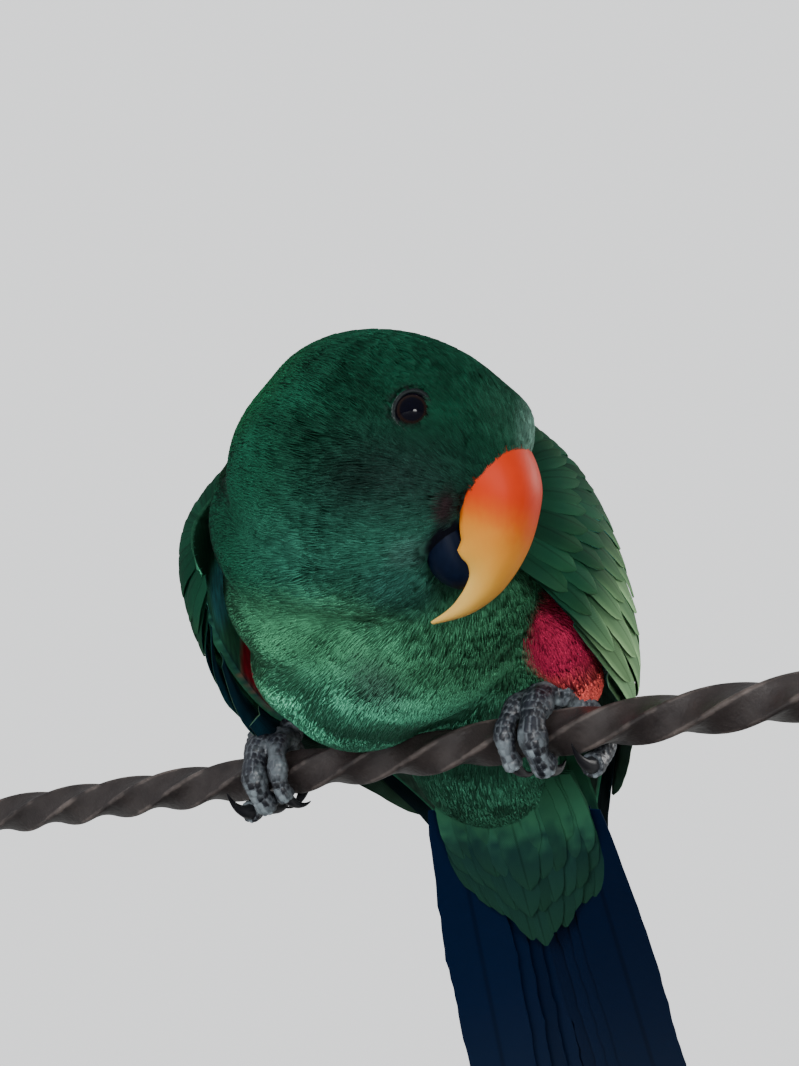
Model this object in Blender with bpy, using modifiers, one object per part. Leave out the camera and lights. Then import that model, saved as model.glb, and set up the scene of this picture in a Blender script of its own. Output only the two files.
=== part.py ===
"""A life-size eclectus parrot, crouched on a cut length of twisted iron bar, held by a plain stand.

The bird leans forward over the bar with its head turned to its left. Lengths in this file are in
millimetres up to the point where a mesh is made, and to_metres turns them into Blender's metres.
The row frame has +X along the perch, -Y towards the side that the bird faces, +Z up, and its
origin under the middle of the stand's base.
"""

import math

import bmesh
import bpy
from mathutils import Matrix, Vector

MM = 0.001
GAP = 0.3  # between any two pieces that touch

# Stand and perch
BASE_LENGTH, BASE_DEPTH, BASE_THICK = 330.0, 176.0, 10.0
BASE_CORNER, BASE_EDGE = 14.0, 1.5
BASE_SHIFT_Y = 20.0  # the base reaches further back, under the tail
PERCH_HEIGHT = 118.0  # the bar's axis above the floor
PERCH_LENGTH = 318.0
PERCH_SIDE = 8.4  # square bar
PERCH_EDGE = 0.8  # its rounded corners
PERCH_TURN = 78.0  # the length of one whole twist
PERCH_STEPS = 48
ROD_RADIUS = 4.0
ROD_INSET = 7.0  # from the bar's cut end to the rod's axis

# Where the bird stands, and which way it faces
BODY_TURN = math.radians(12)  # from square on the bar, towards its left foot
BODY_SHIFT = 9.5  # along the bar, towards its left foot
FOOT_SPREAD = 40.7  # each foot from the middle of the perch

# The flesh with its small feathers, as ellipsoids that melt together. Torso and neck: centre ahead,
# left and up from the stance, radii, and how far the front end is lifted in degrees.
TORSO_FORMS = (
    ((8, 0, 38), (50, 38, 31), 24),
    ((30, 0, 34), (22, 37, 28), 10),
    ((20, 0, 50), (34, 34, 23), 20),
    ((-28, 0, 15), (32, 22, 17), 36),
    ((-33, 0, 5), (26, 21, 12), 32),
    ((22, -4, 20), (20, 31, 19), 10),
    ((2, 24, 27), (21, 17, 16), 20),
    ((2, -22, 26), (21, 17, 15), 20),
    ((38, -18, 34), (20, 21, 22), 10),  # the breast beside the right wing
    ((20, -20, 20), (18, 21, 17), 10),
    ((13, -15, 12), (17, 19, 14), 0),  # the belly, down to the perch
    ((12, 36, 21), (12, 8, 12), 40),  # the flank over the left shank
    ((3, 38, 14), (9, 6, 9), 50),
)
NECK_FORMS = (
    ((45, -6, 43), (24, 28, 24), 10),
    ((56, -12, 43), (20, 22, 23), 0),
    ((58, 4, 32), (16, 22, 15), 0),  # the throat under the head
)
NECK_ROOT = (46, 0, 50)  # the cut between torso and neck goes through here
NECK_ROOT_NORMAL = (0.8, 0, 0.6)

# The head is turned past square to the body, dipped, and cocked towards the front. In its own frame
# a place is given by how far it is in front, to the right and up from between the two eyes.
EYE_CENTRE = (67.8, 23.9, 56.0)  # between the two eyes, ahead, left and up from the stance
HEAD_YAW, HEAD_DIP, HEAD_COCK = map(math.radians, (102.5, 20.5, 16.4))
HEAD_FORMS = (  # centre, radii, dip
    ((-7, 0, -4), (31.5, 19.4, 22.5), 0),
    ((11, 0, 0.5), (11.7, 10.5, 8.8), 10),
    ((-6, 0, -17), (24, 21, 19), 0),
    ((-25, 0, -16), (17, 19.5, 22), 0),
    ((-10, 0, -27), (18, 17, 13), 0),
    ((8.5, 0, -11), (10.5, 11.5, 13), 0),
    ((15.7, 0, 4.5), (8.5, 8, 7.4), 35),
)
EYE_RADIUS = 4.4
EYE_SPREAD = 15.1  # each eyeball's centre from the middle of the head
LID_RADIUS, LID_THICK = 3.8, 0.6
LID_OUT = 3.0  # from the eyeball's centre, the way that the eye faces
EYE_FACING = (0.14, 0.98, 0.15)  # to the front, outwards and up
NOSTRIL = (19.5, 4.6, 4.6)
NOSTRIL_RADIUS = 1.0

# The bill, from its base to its tip: the outline's (front, up), and half its width
CULMEN = ((15, 4), (22, 1.2), (27.2, -5.6), (28.8, -13), (28.6, -21.5), (25.8, -30.5), (20.6, -37.2),
          (13.6, -41.6))
TOMIUM = ((3, -12), (8, -13.5), (13.4, -15.5), (15.2, -20.5), (17.2, -25.2), (19.2, -29.4),
          (17.2, -36.0), (13.0, -41.2))
UPPER_HALF_WIDTH = (11.5, 11.5, 10.6, 9.4, 7.8, 5.4, 2.9, 0.6)
UPPER_SHARES = (0.12, 0.34, 0.62, 0.86, 1.0)  # from the ridge to the cutting edge
RIDGE_WIDTH = 0.16  # of the half width, along the top of the ridge
NOTCH_AT, NOTCH_SPAN, NOTCH_DEPTH = 0.56, 0.07, 1.6  # the tooth in the cutting edge
PALATE = 0.86  # how far down the hollow underside reaches
GONYS = ((6, -24), (9.5, -30.2), (13.5, -32.6), (17.6, -32.6), (21.2, -30.2))
LOWER_EDGE = ((6, -14.5), (10.5, -16.5), (14.2, -20.5), (17.2, -24.6), (20.6, -28.2))
LOWER_HALF_WIDTH = (8.6, 8.8, 8.2, 6.6, 3.4)
LOWER_SECTION = ((0.0, 0.35), (0.22, 0.8), (0.55, 1.0), (0.85, 1.0), (1.0, 0.88))  # share, width
TONGUE_BED = 0.8

# A folded wing, from the shoulder to its tip: its lower and upper edge, ahead, out and up from the
# stance, and how far it bows out between them. Along it is u and up it is v, both from 0 to 1.
WING_LOWER = ((52, 35, 33), (28, 44, 23), (-6, 46, 12), (-40, 35, 8), (-72, 22, -9), (-106, 12, -38))
WING_UPPER = ((50, 30, 60), (30, 23, 77), (-6, 12, 70), (-40, 7, 42), (-72, 4, 12), (-106, 7, -31))
WING_BOW = (8, 13, 13, 8, 4, 1)
WING_BOW_WAY = (0, 0.86, 0.5)
WING_SPREAD = {1: (0, 0), -1: (5, 0)}  # the right wing is held a little further out, front to rear
WING_CORE_END, WING_CORE_STEPS, WING_CORE_SIDES = 0.74, 9, 6
WING_DEPTH = (6.5, 6.5, 6.0, 4.6, 3.0)  # of the pad under the feathers, front to rear
WING_SINK = (0, 0, -1.2, -2.2, -2.6)  # how far its face lies under the feathers' own
PRIMARIES = 5
PRIMARY_ROOT = (0.42, 0.12, 0.50)  # u, and v of the lowest and of the highest
PRIMARY_TIPS = ((1.0, 0.15), (0.82, 0.80))  # (u, v) of the lowest and of the highest
PRIMARY_LIFTS = (-4.0, -1.6, -1.2, -0.8)  # from the root to the tip
PRIMARY_HALF_WIDTH, PRIMARY_TILT = 5.6, 1.3
WING_ROWS, ROW_LOWEST, ROW_HIGHEST = 6, 0.12, 0.88
WING_TIERS = (  # u of the roots, of the lowest tip and of the highest tip, half width, lifts, steps
    (0.35, 0.72, 0.60, 6.6, (-3.0, -0.2, 0.9, 1.4), 4),
    (0.22, 0.47, 0.47, 6.4, (-1.8, 1.0, 2.4), 3),
    (0.09, 0.31, 0.31, 6.2, (-1.6, 1.2, 2.6), 3),
)
TIER_TILT = 1.2
VANE_THICK, VANE_TIP = 0.6, 0.32

# The tail hangs behind the perch
TAIL_ROOT = (-43.7, 5.0, 0.0)
TAIL_TIP = (-147.7, -5.0, -79.0)
TAIL_FEATHERS = 6  # pairs
TAIL_WIDTH = 20.0  # of one feather
TAIL_VANE_TIP = 0.2
TAIL_SPREAD, TAIL_OFFSET = 0.6, (1.6, 3.1)  # degrees, and the first one's and each next one's place
TAIL_ARCH = 0.003
TAIL_TOP, TAIL_STEP = 2.6, 1.15  # the middle pair's height, and how far each pair lies under it
TAIL_CORE_START, TAIL_CORE_END, TAIL_CORE_STEPS, TAIL_CORE_SIDES = -0.14, 0.34, 5, 12
TAIL_CORE_WIDTHS = (11, 20, 23, 22, 15)
TAIL_CORE_DEPTHS = (9, 9.5, 7.0, 4.0, 1.0)
COVERT_WIDTH = 13.0
# Coverts: how many each side of the middle one, where they start, the middle one's length, how much
# shorter each next one is, its angle in degrees, its place aside, the middle one's height, how much
# higher each next one is, and the rise towards the tip
UNDERTAIL = (3, -4, 58, 5, 1.2, 4.2, -7.4, 1.05, 0.5)
UPPERTAIL = (2, -6, 46, 4, 1.4, 4.4, 6.2, -1.05, -0.5)

# Two toes of each foot wrap the bar from the front and two from behind
TOE_WRAP = 8.4  # the toes' middle line from the bar's axis
TOE_START, TOE_STEPS = -12, 9  # degrees past the bar's top
TOE_RISE, TOE_RISE_AT, TOE_RISE_SPAN = 1.2, 0.05, 0.16  # over the bar, next to the ankle
TOE_KNUCKLES, KNUCKLE_SWELL = 3, 0.10
TOES = (  # number, where it ends and starts aside of the foot's middle, radius, how far it wraps
    ("2", -7.4, -3.4, 2.7, 150),
    ("3", 0.0, 0.6, 3.6, 166),
    ("4", 9.6, 3.6, 3.3, -165),
    ("1", -3.6, -2.0, 2.6, -104),
)
ANKLE = {1: (44, 4, 11), -1: (-40, 4, 12)}  # from the middle of the perch, by side
ANKLE_RADIUS = 4.3
TARSUS_TOP = {1: (-8, 41, 25), -1: (-4, -34, 26)}  # ahead, left and up from the stance, by side
TARSUS_SHARES, TARSUS_RADII = (0.0, 0.3, 0.65, 1.0), (4.0, 3.6, 4.6, 8.0)
CLAW_TURN, CLAW_LENGTH, CLAW_STEPS = 60, 11.0, 5
CLAW_ROOT, CLAW_POINT = 0.72, 0.35  # of the toe's radius, and millimetres

FLESH_VOXEL, FLESH_SOFTENING = 1.7, 14
HEAD_DETAIL, TRUNK_DETAIL = 0.10, 0.043  # share of the triangles kept
GREEN, DARK_GREEN = (0.02, 0.19, 0.07), (0.015, 0.12, 0.05)
BLUE_BLACK, ORANGE, BLACK = (0.006, 0.012, 0.035), (0.85, 0.24, 0.04), (0.012, 0.012, 0.016)
EYE_BROWN, GREY = (0.02, 0.012, 0.01), (0.09, 0.1, 0.11)
IRON, BASE_BLACK, STEEL = (0.05, 0.04, 0.038), (0.02, 0.02, 0.02), (0.3, 0.3, 0.31)


def clear_scene():
    for obj in list(bpy.data.objects):
        bpy.data.objects.remove(obj)


def new_collection(name, hidden=False):
    collection = bpy.data.collections.new(name)
    bpy.context.scene.collection.children.link(collection)
    collection.hide_render = hidden
    return collection


clear_scene()
PARROT = new_collection("eclectus_parrot")
CUTTERS = new_collection("cutters", hidden=True)


def material(name, colour, roughness=0.6, metallic=0.0):
    found = bpy.data.materials.get(name)
    if found:
        return found
    made = bpy.data.materials.new(name)
    made.use_nodes = True
    shader = made.node_tree.nodes["Principled BSDF"]
    shader.inputs["Base Color"].default_value = (*colour, 1)
    shader.inputs["Roughness"].default_value = roughness
    shader.inputs["Metallic"].default_value = metallic
    return made


# Frames: points of the body and of the head, in millimetres, as points of the row frame


def lerp(a, b, t):
    return a + (b - a) * t


FORWARD = Vector((math.sin(BODY_TURN), -math.cos(BODY_TURN), 0))
LEFTWARD = Vector((math.cos(BODY_TURN), math.sin(BODY_TURN), 0))
UPWARD = Vector((0, 0, 1))
STANCE = Vector((BODY_SHIFT, 0, PERCH_HEIGHT))


def body_direction(ahead, left, up):
    return ahead * FORWARD + left * LEFTWARD + up * UPWARD


def body_point(ahead, left, up):
    return STANCE + body_direction(ahead, left, up)


def head_axes():
    """The head's own forward, right and up directions, in the row frame."""
    level = math.cos(HEAD_DIP)
    front = body_direction(level * math.cos(HEAD_YAW), level * math.sin(HEAD_YAW), -math.sin(HEAD_DIP))
    upright = (UPWARD - front * front.z).normalized()
    side = front.cross(upright)
    crown = math.cos(HEAD_COCK) * upright + math.sin(HEAD_COCK) * side
    right = math.cos(HEAD_COCK) * side - math.sin(HEAD_COCK) * upright
    return front, right, crown


HEAD_FRONT, HEAD_RIGHT, HEAD_UP = head_axes()
HEAD_ORIGIN = body_point(*EYE_CENTRE)


def head_point(front, right, up):
    return HEAD_ORIGIN + front * HEAD_FRONT + right * HEAD_RIGHT + up * HEAD_UP


# Making and joining meshes


def object_from(name, bm, collection=PARROT):
    """A new object from a bmesh whose points are in millimetres."""
    bmesh.ops.scale(bm, vec=(MM, MM, MM), verts=bm.verts)
    mesh = bpy.data.meshes.new(name)
    bm.to_mesh(mesh)
    bm.free()
    obj = bpy.data.objects.new(name, mesh)
    collection.objects.link(obj)
    return obj


def bake(obj):
    """Applies an object's modifiers, by making its evaluated mesh its own."""
    bpy.context.view_layer.update()
    graph = bpy.context.evaluated_depsgraph_get()
    mesh = bpy.data.meshes.new_from_object(obj.evaluated_get(graph))
    obj.modifiers.clear()
    old = obj.data
    obj.data = mesh
    bpy.data.meshes.remove(old)
    return obj


def keep_largest(obj):
    """Leaves only the largest closed surface."""
    bm = bmesh.new()
    bm.from_mesh(obj.data)
    unseen, shells = set(bm.faces), []
    while unseen:
        shell, border = [], [unseen.pop()]
        while border:
            face = border.pop()
            shell.append(face)
            near = {f for edge in face.edges for f in edge.link_faces} & unseen
            unseen -= near
            border += near
        shells.append(shell)
    shells.sort(key=lambda shell: sum(face.calc_area() for face in shell))
    scraps = [face for shell in shells[:-1] for face in shell]
    bmesh.ops.delete(bm, geom=scraps, context="FACES")
    bm.to_mesh(obj.data)
    bm.free()
    return obj


def boolean(obj, other, operation, solver="MANIFOLD"):
    modifier = obj.modifiers.new(operation, "BOOLEAN")
    modifier.operation = operation
    modifier.solver = solver
    if isinstance(other, bpy.types.Collection):
        modifier.operand_type = "COLLECTION"
        modifier.collection = other
    else:
        modifier.object = other
    return bake(obj)


def cut(obj, *others):
    for other in others:
        boolean(obj, other, "DIFFERENCE")
    return keep_largest(obj)


def fuse(obj, pieces):
    """Joins closed pieces to obj by one Boolean union, and removes them."""
    group = new_collection(obj.name + "_pieces", hidden=True)
    for piece in pieces:
        for collection in list(piece.users_collection):
            collection.objects.unlink(piece)
        group.objects.link(piece)
    boolean(obj, group, "UNION")
    for piece in pieces:
        bpy.data.objects.remove(piece)
    bpy.data.collections.remove(group)
    return keep_largest(obj)


def swollen(obj, by=GAP):
    """A copy of obj that reaches a little further out, to cut its neighbours clear of it."""
    copy = bpy.data.objects.new(obj.name + "_clearance", obj.data.copy())
    CUTTERS.objects.link(copy)
    bm = bmesh.new()
    bm.from_mesh(copy.data)
    bm.normal_update()
    for vert, normal in [(v, v.normal.copy()) for v in bm.verts]:
        vert.co += normal * by * MM
    bm.to_mesh(copy.data)
    bm.free()
    return copy


def drop(*objs):
    for obj in objs:
        bpy.data.objects.remove(obj)


def smooth_shade(obj, angle=40):
    obj.data.shade_smooth()
    obj.data.set_sharp_from_angle(angle=math.radians(angle))
    return obj


def dress(obj, finish, angle=40):
    """Gives a finished node its one material and smooth shading."""
    obj.data.materials.clear()
    obj.data.materials.append(finish)
    return smooth_shade(obj, angle)


def copy_of(obj, name):
    copy = bpy.data.objects.new(name, obj.data.copy())
    PARROT.objects.link(copy)
    return copy


# Flesh: ellipsoids melted together, then parted with thin flat cuts


def ellipsoid(bm, centre, radii, axes):
    matrix = Matrix.Translation(centre) @ Matrix(axes).transposed().to_4x4() @ Matrix.Diagonal((*radii, 1))
    bmesh.ops.create_uvsphere(bm, u_segments=28, v_segments=18, radius=1, matrix=matrix)


def body_ellipsoid(bm, centre, radii, pitch=0.0, yaw=0.0):
    """pitch lifts the front end and yaw turns it to the bird's left, in degrees."""
    p, y = math.radians(pitch), math.radians(yaw)
    front = body_direction(math.cos(p) * math.cos(y), math.cos(p) * math.sin(y), math.sin(p))
    left = body_direction(-math.sin(y), math.cos(y), 0)
    ellipsoid(bm, body_point(*centre), radii, (front, left, front.cross(left)))


def head_ellipsoid(bm, centre, radii, dip=0.0):
    """dip lowers the front end, in degrees of the head's own frame."""
    d = math.radians(dip)
    front = math.cos(d) * HEAD_FRONT - math.sin(d) * HEAD_UP
    ellipsoid(bm, head_point(*centre), radii, (front, -HEAD_RIGHT, front.cross(-HEAD_RIGHT)))


def melted(name, forms, form, ratio):
    """One soft closed body from overlapping ellipsoids."""
    bm = bmesh.new()
    for each in forms:
        form(bm, *each)
    obj = object_from(name, bm)
    remesh = obj.modifiers.new("melt", "REMESH")
    remesh.mode = "VOXEL"
    remesh.voxel_size = FLESH_VOXEL * MM
    soften = obj.modifiers.new("soften", "SMOOTH")
    soften.factor = 0.5
    soften.iterations = FLESH_SOFTENING
    fewer = obj.modifiers.new("fewer", "DECIMATE")
    fewer.ratio = ratio
    return bake(obj)


def half_space(name, point, normal, side):
    """A big block on one side of a plane, for cutting away what lies there."""
    size = 500.0
    bm = bmesh.new()
    normal = normal.normalized()
    across = normal.orthogonal().normalized()
    axes = Matrix((across, normal.cross(across), normal)).transposed().to_4x4()
    place = Matrix.Translation(point + side * normal * (size / 2 - GAP / 2)) @ axes
    bmesh.ops.create_cube(bm, size=size, matrix=place)
    return object_from(name, bm, CUTTERS)


def trunk_parts(head):
    """Neck and torso from one body that makes room for the head, parted by a thin flat cut."""
    trunk = melted("torso", (*TORSO_FORMS, *NECK_FORMS), body_ellipsoid, TRUNK_DETAIL)
    room = swollen(head)
    cut(trunk, room)
    drop(room)
    root, normal = body_point(*NECK_ROOT), body_direction(*NECK_ROOT_NORMAL)
    before, behind = (half_space("root", root, normal, side) for side in (1, -1))
    neck = cut(copy_of(trunk, "neck"), behind)
    torso = cut(trunk, before)
    drop(before, behind)
    return torso, neck


# Lofts: closed solids from rings of points


def loft(name, rings, collection=PARROT):
    """A closed solid through rings of equally many points, split into triangles alike all round."""
    bm = bmesh.new()
    rows = [[bm.verts.new(p) for p in ring] for ring in rings]
    count = len(rows[0])
    for near, far in zip(rows, rows[1:]):
        for i in range(count):
            j = (i + 1) % count
            bm.faces.new((near[i], near[j], far[j]))
            bm.faces.new((near[i], far[j], far[i]))
    for ring, order in ((rows[0], -1), (rows[-1], 1)):
        for i in range(1, count - 1):
            bm.faces.new((ring[0], ring[i], ring[i + 1])[::order])
    if bm.calc_volume(signed=True) < 0:
        bmesh.ops.reverse_faces(bm, faces=bm.faces)
    return object_from(name, bm, collection)


def along(points, t):
    """A smooth curve through a few points, at t from 0 to 1."""
    last = len(points) - 1
    k = min(int(t * last), last - 1)
    s = t * last - k
    p0, p1, p2, p3 = (Vector(points[min(max(i, 0), last)]) for i in (k - 1, k, k + 1, k + 2))
    return 0.5 * (2 * p1 + (p2 - p0) * s + (2 * p0 - 5 * p1 + 4 * p2 - p3) * s**2
                  + (3 * p1 - p0 - 3 * p2 + p3) * s**3)


def value_along(values, t):
    return along([(value, 0, 0) for value in values], t).x


def tube(name, points, radii, sides=10, collection=PARROT):
    """A limb through points, each with its radius."""
    rings = []
    across = None
    for i, point in enumerate(points):
        run = points[min(i + 1, len(points) - 1)] - points[max(i - 1, 0)]
        run.normalize()
        across = run.orthogonal() if across is None else across - run * across.dot(run)
        across.normalize()
        other = run.cross(across)
        turns = [2 * math.pi * k / sides for k in range(sides)]
        rings.append([point + radii[i] * (math.cos(a) * across + math.sin(a) * other) for a in turns])
    return loft(name, rings, collection)


# Bill: two lofted halves in the head's frame


def flat_point(profile, t):
    return along([(*p, 0) for p in profile], t)


def bill_ring(side, hollow):
    """One ring through places on the right side, mirrored on the left, with a hollow between."""
    ring = [head_point(p.x, spread, p.y) for p, spread in side]
    ring.append(head_point(hollow.x, 0, hollow.y))
    return ring + [head_point(p.x, -spread, p.y) for p, spread in reversed(side)]


def upper_bill():
    rings = []
    steps = 18
    for k in range(steps + 1):
        t = k / steps
        ridge, edge = flat_point(CULMEN, t), flat_point(TOMIUM, t)
        half = max(value_along(UPPER_HALF_WIDTH, t), 0.5)
        tooth = NOTCH_DEPTH * max(0.0, 1 - abs(t - NOTCH_AT) / NOTCH_SPAN)
        edge += (edge - ridge).normalized() * tooth
        side = [(ridge, half * RIDGE_WIDTH)]
        for share in UPPER_SHARES:
            spread = half * math.sin(math.pi * min(0.5, 0.06 + share * 0.62))
            side.append((ridge.lerp(edge, share), spread))
        rings.append(bill_ring(side, ridge.lerp(edge, PALATE)))
    return loft("bill_upper", rings)


def lower_bill():
    rings = []
    steps = 10
    for k in range(steps + 1):
        t = k / steps
        keel, edge = flat_point(GONYS, t), flat_point(LOWER_EDGE, t)
        half = value_along(LOWER_HALF_WIDTH, t)
        side = [(keel.lerp(edge, share), -half * wide) for share, wide in LOWER_SECTION]
        rings.append(bill_ring(side, keel.lerp(edge, TONGUE_BED)))
    return loft("bill_lower", rings)


def ball(name, centre, radius, u=14, v=9, collection=PARROT):
    bm = bmesh.new()
    place = Matrix.Translation(centre)
    bmesh.ops.create_uvsphere(bm, u_segments=u, v_segments=v, radius=radius, matrix=place)
    return object_from(name, bm, collection)


def lid_ring(side):
    """The bare rim round one eye, lying on the face."""
    front, aside, up = EYE_FACING
    facing = (head_point(front, side * aside, up) - HEAD_ORIGIN).normalized()
    ahead = (HEAD_FRONT - facing * HEAD_FRONT.dot(facing)).normalized()
    above = facing.cross(ahead)
    centre = head_point(0, side * EYE_SPREAD, 0) + facing * LID_OUT
    rings = []
    around, thick = 14, 4
    bm = bmesh.new()
    for k in range(around):
        a = 2 * math.pi * k / around
        out = math.cos(a) * ahead + math.sin(a) * above
        ring = []
        for j in range(thick):
            b = 2 * math.pi * j / thick
            reach = LID_RADIUS + LID_THICK * math.cos(b)
            ring.append(centre + out * reach + facing * LID_THICK * math.sin(b))
        rings.append([bm.verts.new(p) for p in ring])
    for k in range(around):
        near, far = rings[k], rings[(k + 1) % around]
        for j in range(thick):
            i = (j + 1) % thick
            bm.faces.new((near[j], near[i], far[i], far[j]))
    bmesh.ops.recalc_face_normals(bm, faces=bm.faces)
    return object_from("lid", bm)


def face(head):
    """Sockets, lids, nostrils and the two halves of the bill."""
    lids = [lid_ring(side) for side in (1, -1)]
    fuse(head, lids)
    eyes = {}
    for side, name in ((1, "eye_right"), (-1, "eye_left")):
        centre = head_point(0, side * EYE_SPREAD, 0)
        socket = ball("socket", centre, EYE_RADIUS + GAP, collection=CUTTERS)
        front, aside, up = NOSTRIL
        pit = ball("pit", head_point(front, side * aside, up), NOSTRIL_RADIUS, 8, 5, CUTTERS)
        cut(head, socket, pit)
        drop(socket, pit)
        eyes[name] = ball(name, centre, EYE_RADIUS)
    upper, lower = upper_bill(), lower_bill()
    room = swollen(head)
    cut(upper, room)
    cut(lower, room)
    drop(room)
    over = swollen(upper)
    cut(lower, over)
    drop(over)
    for eye in eyes.values():
        dress(eye, material("eye", EYE_BROWN, 0.08))
    dress(upper, material("bill_orange", ORANGE, 0.3), 50)
    dress(lower, material("bill_black", BLACK, 0.35), 50)
    dress(head, material("plumage_green", GREEN, 0.7), 70)
    return upper, lower, *eyes.values()


# Feathers: thin closed vanes laid on a surface


def vane(place, steps, half_width, tip=VANE_TIP, tilt=0.0):
    """One feather. place(s, w) gives a point and the outward normal at s along it from 0 at the
    root to 1 at the tip, and w millimetres across it. tilt lifts the side where w is negative."""
    rings = []
    for k in range(steps + 1):
        s = k / steps
        swell = math.sin(math.pi * min(1.0, 0.22 + 0.5 * s)) if s < 0.56 else 1.0
        end = math.sqrt(max(0.0, 1 - ((s - (1 - tip)) / tip) ** 2)) if s > 1 - tip else 1.0
        half = half_width * swell * max(end, 0.16)
        top, bottom = [], []
        for share in (-1.0, 0.0, 1.0):
            point, normal = place(s, share * half)
            lift = -tilt * share * half / half_width
            ridge = VANE_THICK * (0.75 if share == 0 else 0.42)
            top.append(point + normal * (lift + ridge))
            bottom.append(point + normal * (lift - VANE_THICK * 0.42))
        rings.append(top + bottom[::-1])
    return loft("vane", rings)


# Wing: a folded wing as a bowed surface from its lower edge to its upper edge


def wing_point(side, u, v):
    low, high = along(WING_LOWER, u), along(WING_UPPER, u)
    v_in = min(max(v, 0.0), 1.0)
    bow = value_along(WING_BOW, u) * math.sin(math.pi * v_in**0.8) * (1.1 - 0.3 * v_in)
    place = low.lerp(high, v) + Vector(WING_BOW_WAY) * bow
    return body_point(place.x, side * (place.y + lerp(*WING_SPREAD[side], u)), place.z)


def wing_frame(side, u, v):
    """Point, outward normal and the direction up the wing, at (u, v)."""
    e = 0.01
    u = min(max(u, e), 1 - e)
    run = wing_point(side, u + e, v) - wing_point(side, u - e, v)
    rise = wing_point(side, u, v + e) - wing_point(side, u, v - e)
    normal = run.cross(rise).normalized() * side
    return wing_point(side, u, v), normal, rise / (2 * e)


def wing_core(side, name):
    """The arm and the bases of the feathers, as one closed pad."""
    rings = []
    for i in range(WING_CORE_STEPS + 1):
        t = i / WING_CORE_STEPS
        u = WING_CORE_END * t
        shrink = min(1.0, 0.35 + 4.5 * t)  # the rounded front of the shoulder
        depth = value_along(WING_DEPTH, t) * shrink
        outer, inner = [], []
        for j in range(WING_CORE_SIDES):
            v = lerp(0.5, j / (WING_CORE_SIDES - 1), min(1.0, 0.6 + 3 * t))
            point, normal, _ = wing_frame(side, u, v)
            rim = 0.3 + 0.7 * math.sin(math.pi * j / (WING_CORE_SIDES - 1))
            face = value_along(WING_SINK, t) - depth * (1 - shrink)
            outer.append(point + normal * face)
            inner.append(point + normal * (face - depth * rim))
        rings.append(outer + inner[::-1])
    return loft(name, rings)


def wing_vane(side, root, tip, half_width, lifts, tilt, steps):
    """A feather on the wing, from root (u, v) to tip (u, v), lifted from its root to its tip."""
    (u0, v0), (u1, v1) = root, tip

    def place(s, w):
        u, v = lerp(u0, u1, s), lerp(v0, v1, s)
        point, normal, rise = wing_frame(side, u, v)
        ahead = wing_frame(side, u - 0.02, lerp(v0, v1, s - 0.02 / (u1 - u0)))[0]
        across = (point - ahead).cross(normal).normalized()
        if across.dot(rise) < 0:
            across = -across
        bowed = wing_frame(side, u, min(max(v + w / rise.length, 0.0), 1.0))[0]
        sag = (bowed - point).dot(normal)
        return point + across * w + normal * (sag + value_along(lifts, s)), normal

    return vane(place, steps, half_width, tilt=tilt)


def wing_feathers(side):
    """The tiers of the folded wing, from the primaries up to the median coverts."""
    made = []
    root_u, *root_vs = PRIMARY_ROOT
    lowest, highest = PRIMARY_TIPS
    for i in range(PRIMARIES):
        share = i / (PRIMARIES - 1)
        tip = [lerp(a, b, share) for a, b in zip(lowest, highest)]
        made.append(wing_vane(side, (root_u, lerp(*root_vs, share)), tip, PRIMARY_HALF_WIDTH,
                              PRIMARY_LIFTS, PRIMARY_TILT, 5))
    for i in range(WING_ROWS):
        share = i / (WING_ROWS - 1)
        v = lerp(ROW_LOWEST, ROW_HIGHEST, share)
        for start, low_end, high_end, half_width, lifts, steps in WING_TIERS:
            end = lerp(low_end, high_end, share)
            made.append(wing_vane(side, (start, v), (end, v), half_width, lifts, TIER_TILT, steps))
    return made


def wing(side, name, rooms):
    obj = fuse(wing_core(side, name), wing_feathers(side))
    cut(obj, *rooms)
    return dress(obj, material("wing_green", DARK_GREEN, 0.6), 30)


# Tail: paired vanes in a fan, the middle pair on top, with coverts above and below


def tail_axes():
    root, tip = body_point(*TAIL_ROOT), body_point(*TAIL_TIP)
    run = (tip - root).normalized()
    left = (LEFTWARD - run * LEFTWARD.dot(run)).normalized()
    up = left.cross(run)
    if up.z < 0:
        up = -up
    return root, run, left, up, (tip - root).length


def tail_vane(start, length, angle, offset, half_width, layer, rise, steps):
    """A feather that starts a little along the tail and leaves it at an angle from the middle line."""
    root, run, left, up, _ = tail_axes()
    a = math.radians(angle)
    way = math.cos(a) * run + math.sin(a) * left
    across = math.cos(a) * left - math.sin(a) * run

    def place(s, w):
        point = root + run * start + way * length * s + left * offset + across * w
        aside = (point - root).dot(left)
        height = layer + rise * s - TAIL_ARCH * aside * aside
        return point + up * height, up

    return vane(place, steps, half_width, tip=TAIL_VANE_TIP)


def tail_core():
    """The fleshy root of the tail, which thins out between the feathers."""
    root, run, left, up, length = tail_axes()
    rings = []
    for k in range(TAIL_CORE_STEPS + 1):
        t = k / TAIL_CORE_STEPS
        s = lerp(TAIL_CORE_START, TAIL_CORE_END, t)
        half = value_along(TAIL_CORE_WIDTHS, t)
        thick = value_along(TAIL_CORE_DEPTHS, t)
        ring = []
        for j in range(TAIL_CORE_SIDES):
            a = 2 * math.pi * j / TAIL_CORE_SIDES
            across = half * math.cos(a)
            ring.append(root + run * length * s + left * across
                        + up * (thick * math.sin(a) - TAIL_ARCH * across**2))
        rings.append(ring)
    return loft("tail", rings)


def tail_coverts(count, start, longest, shorter, angle, aside, height, step, rise):
    made = []
    for i in range(-count, count + 1):
        made.append(tail_vane(start, longest - shorter * abs(i), angle * i, aside * i,
                              COVERT_WIDTH / 2, height + step * abs(i), rise, 3))
    return made


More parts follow.
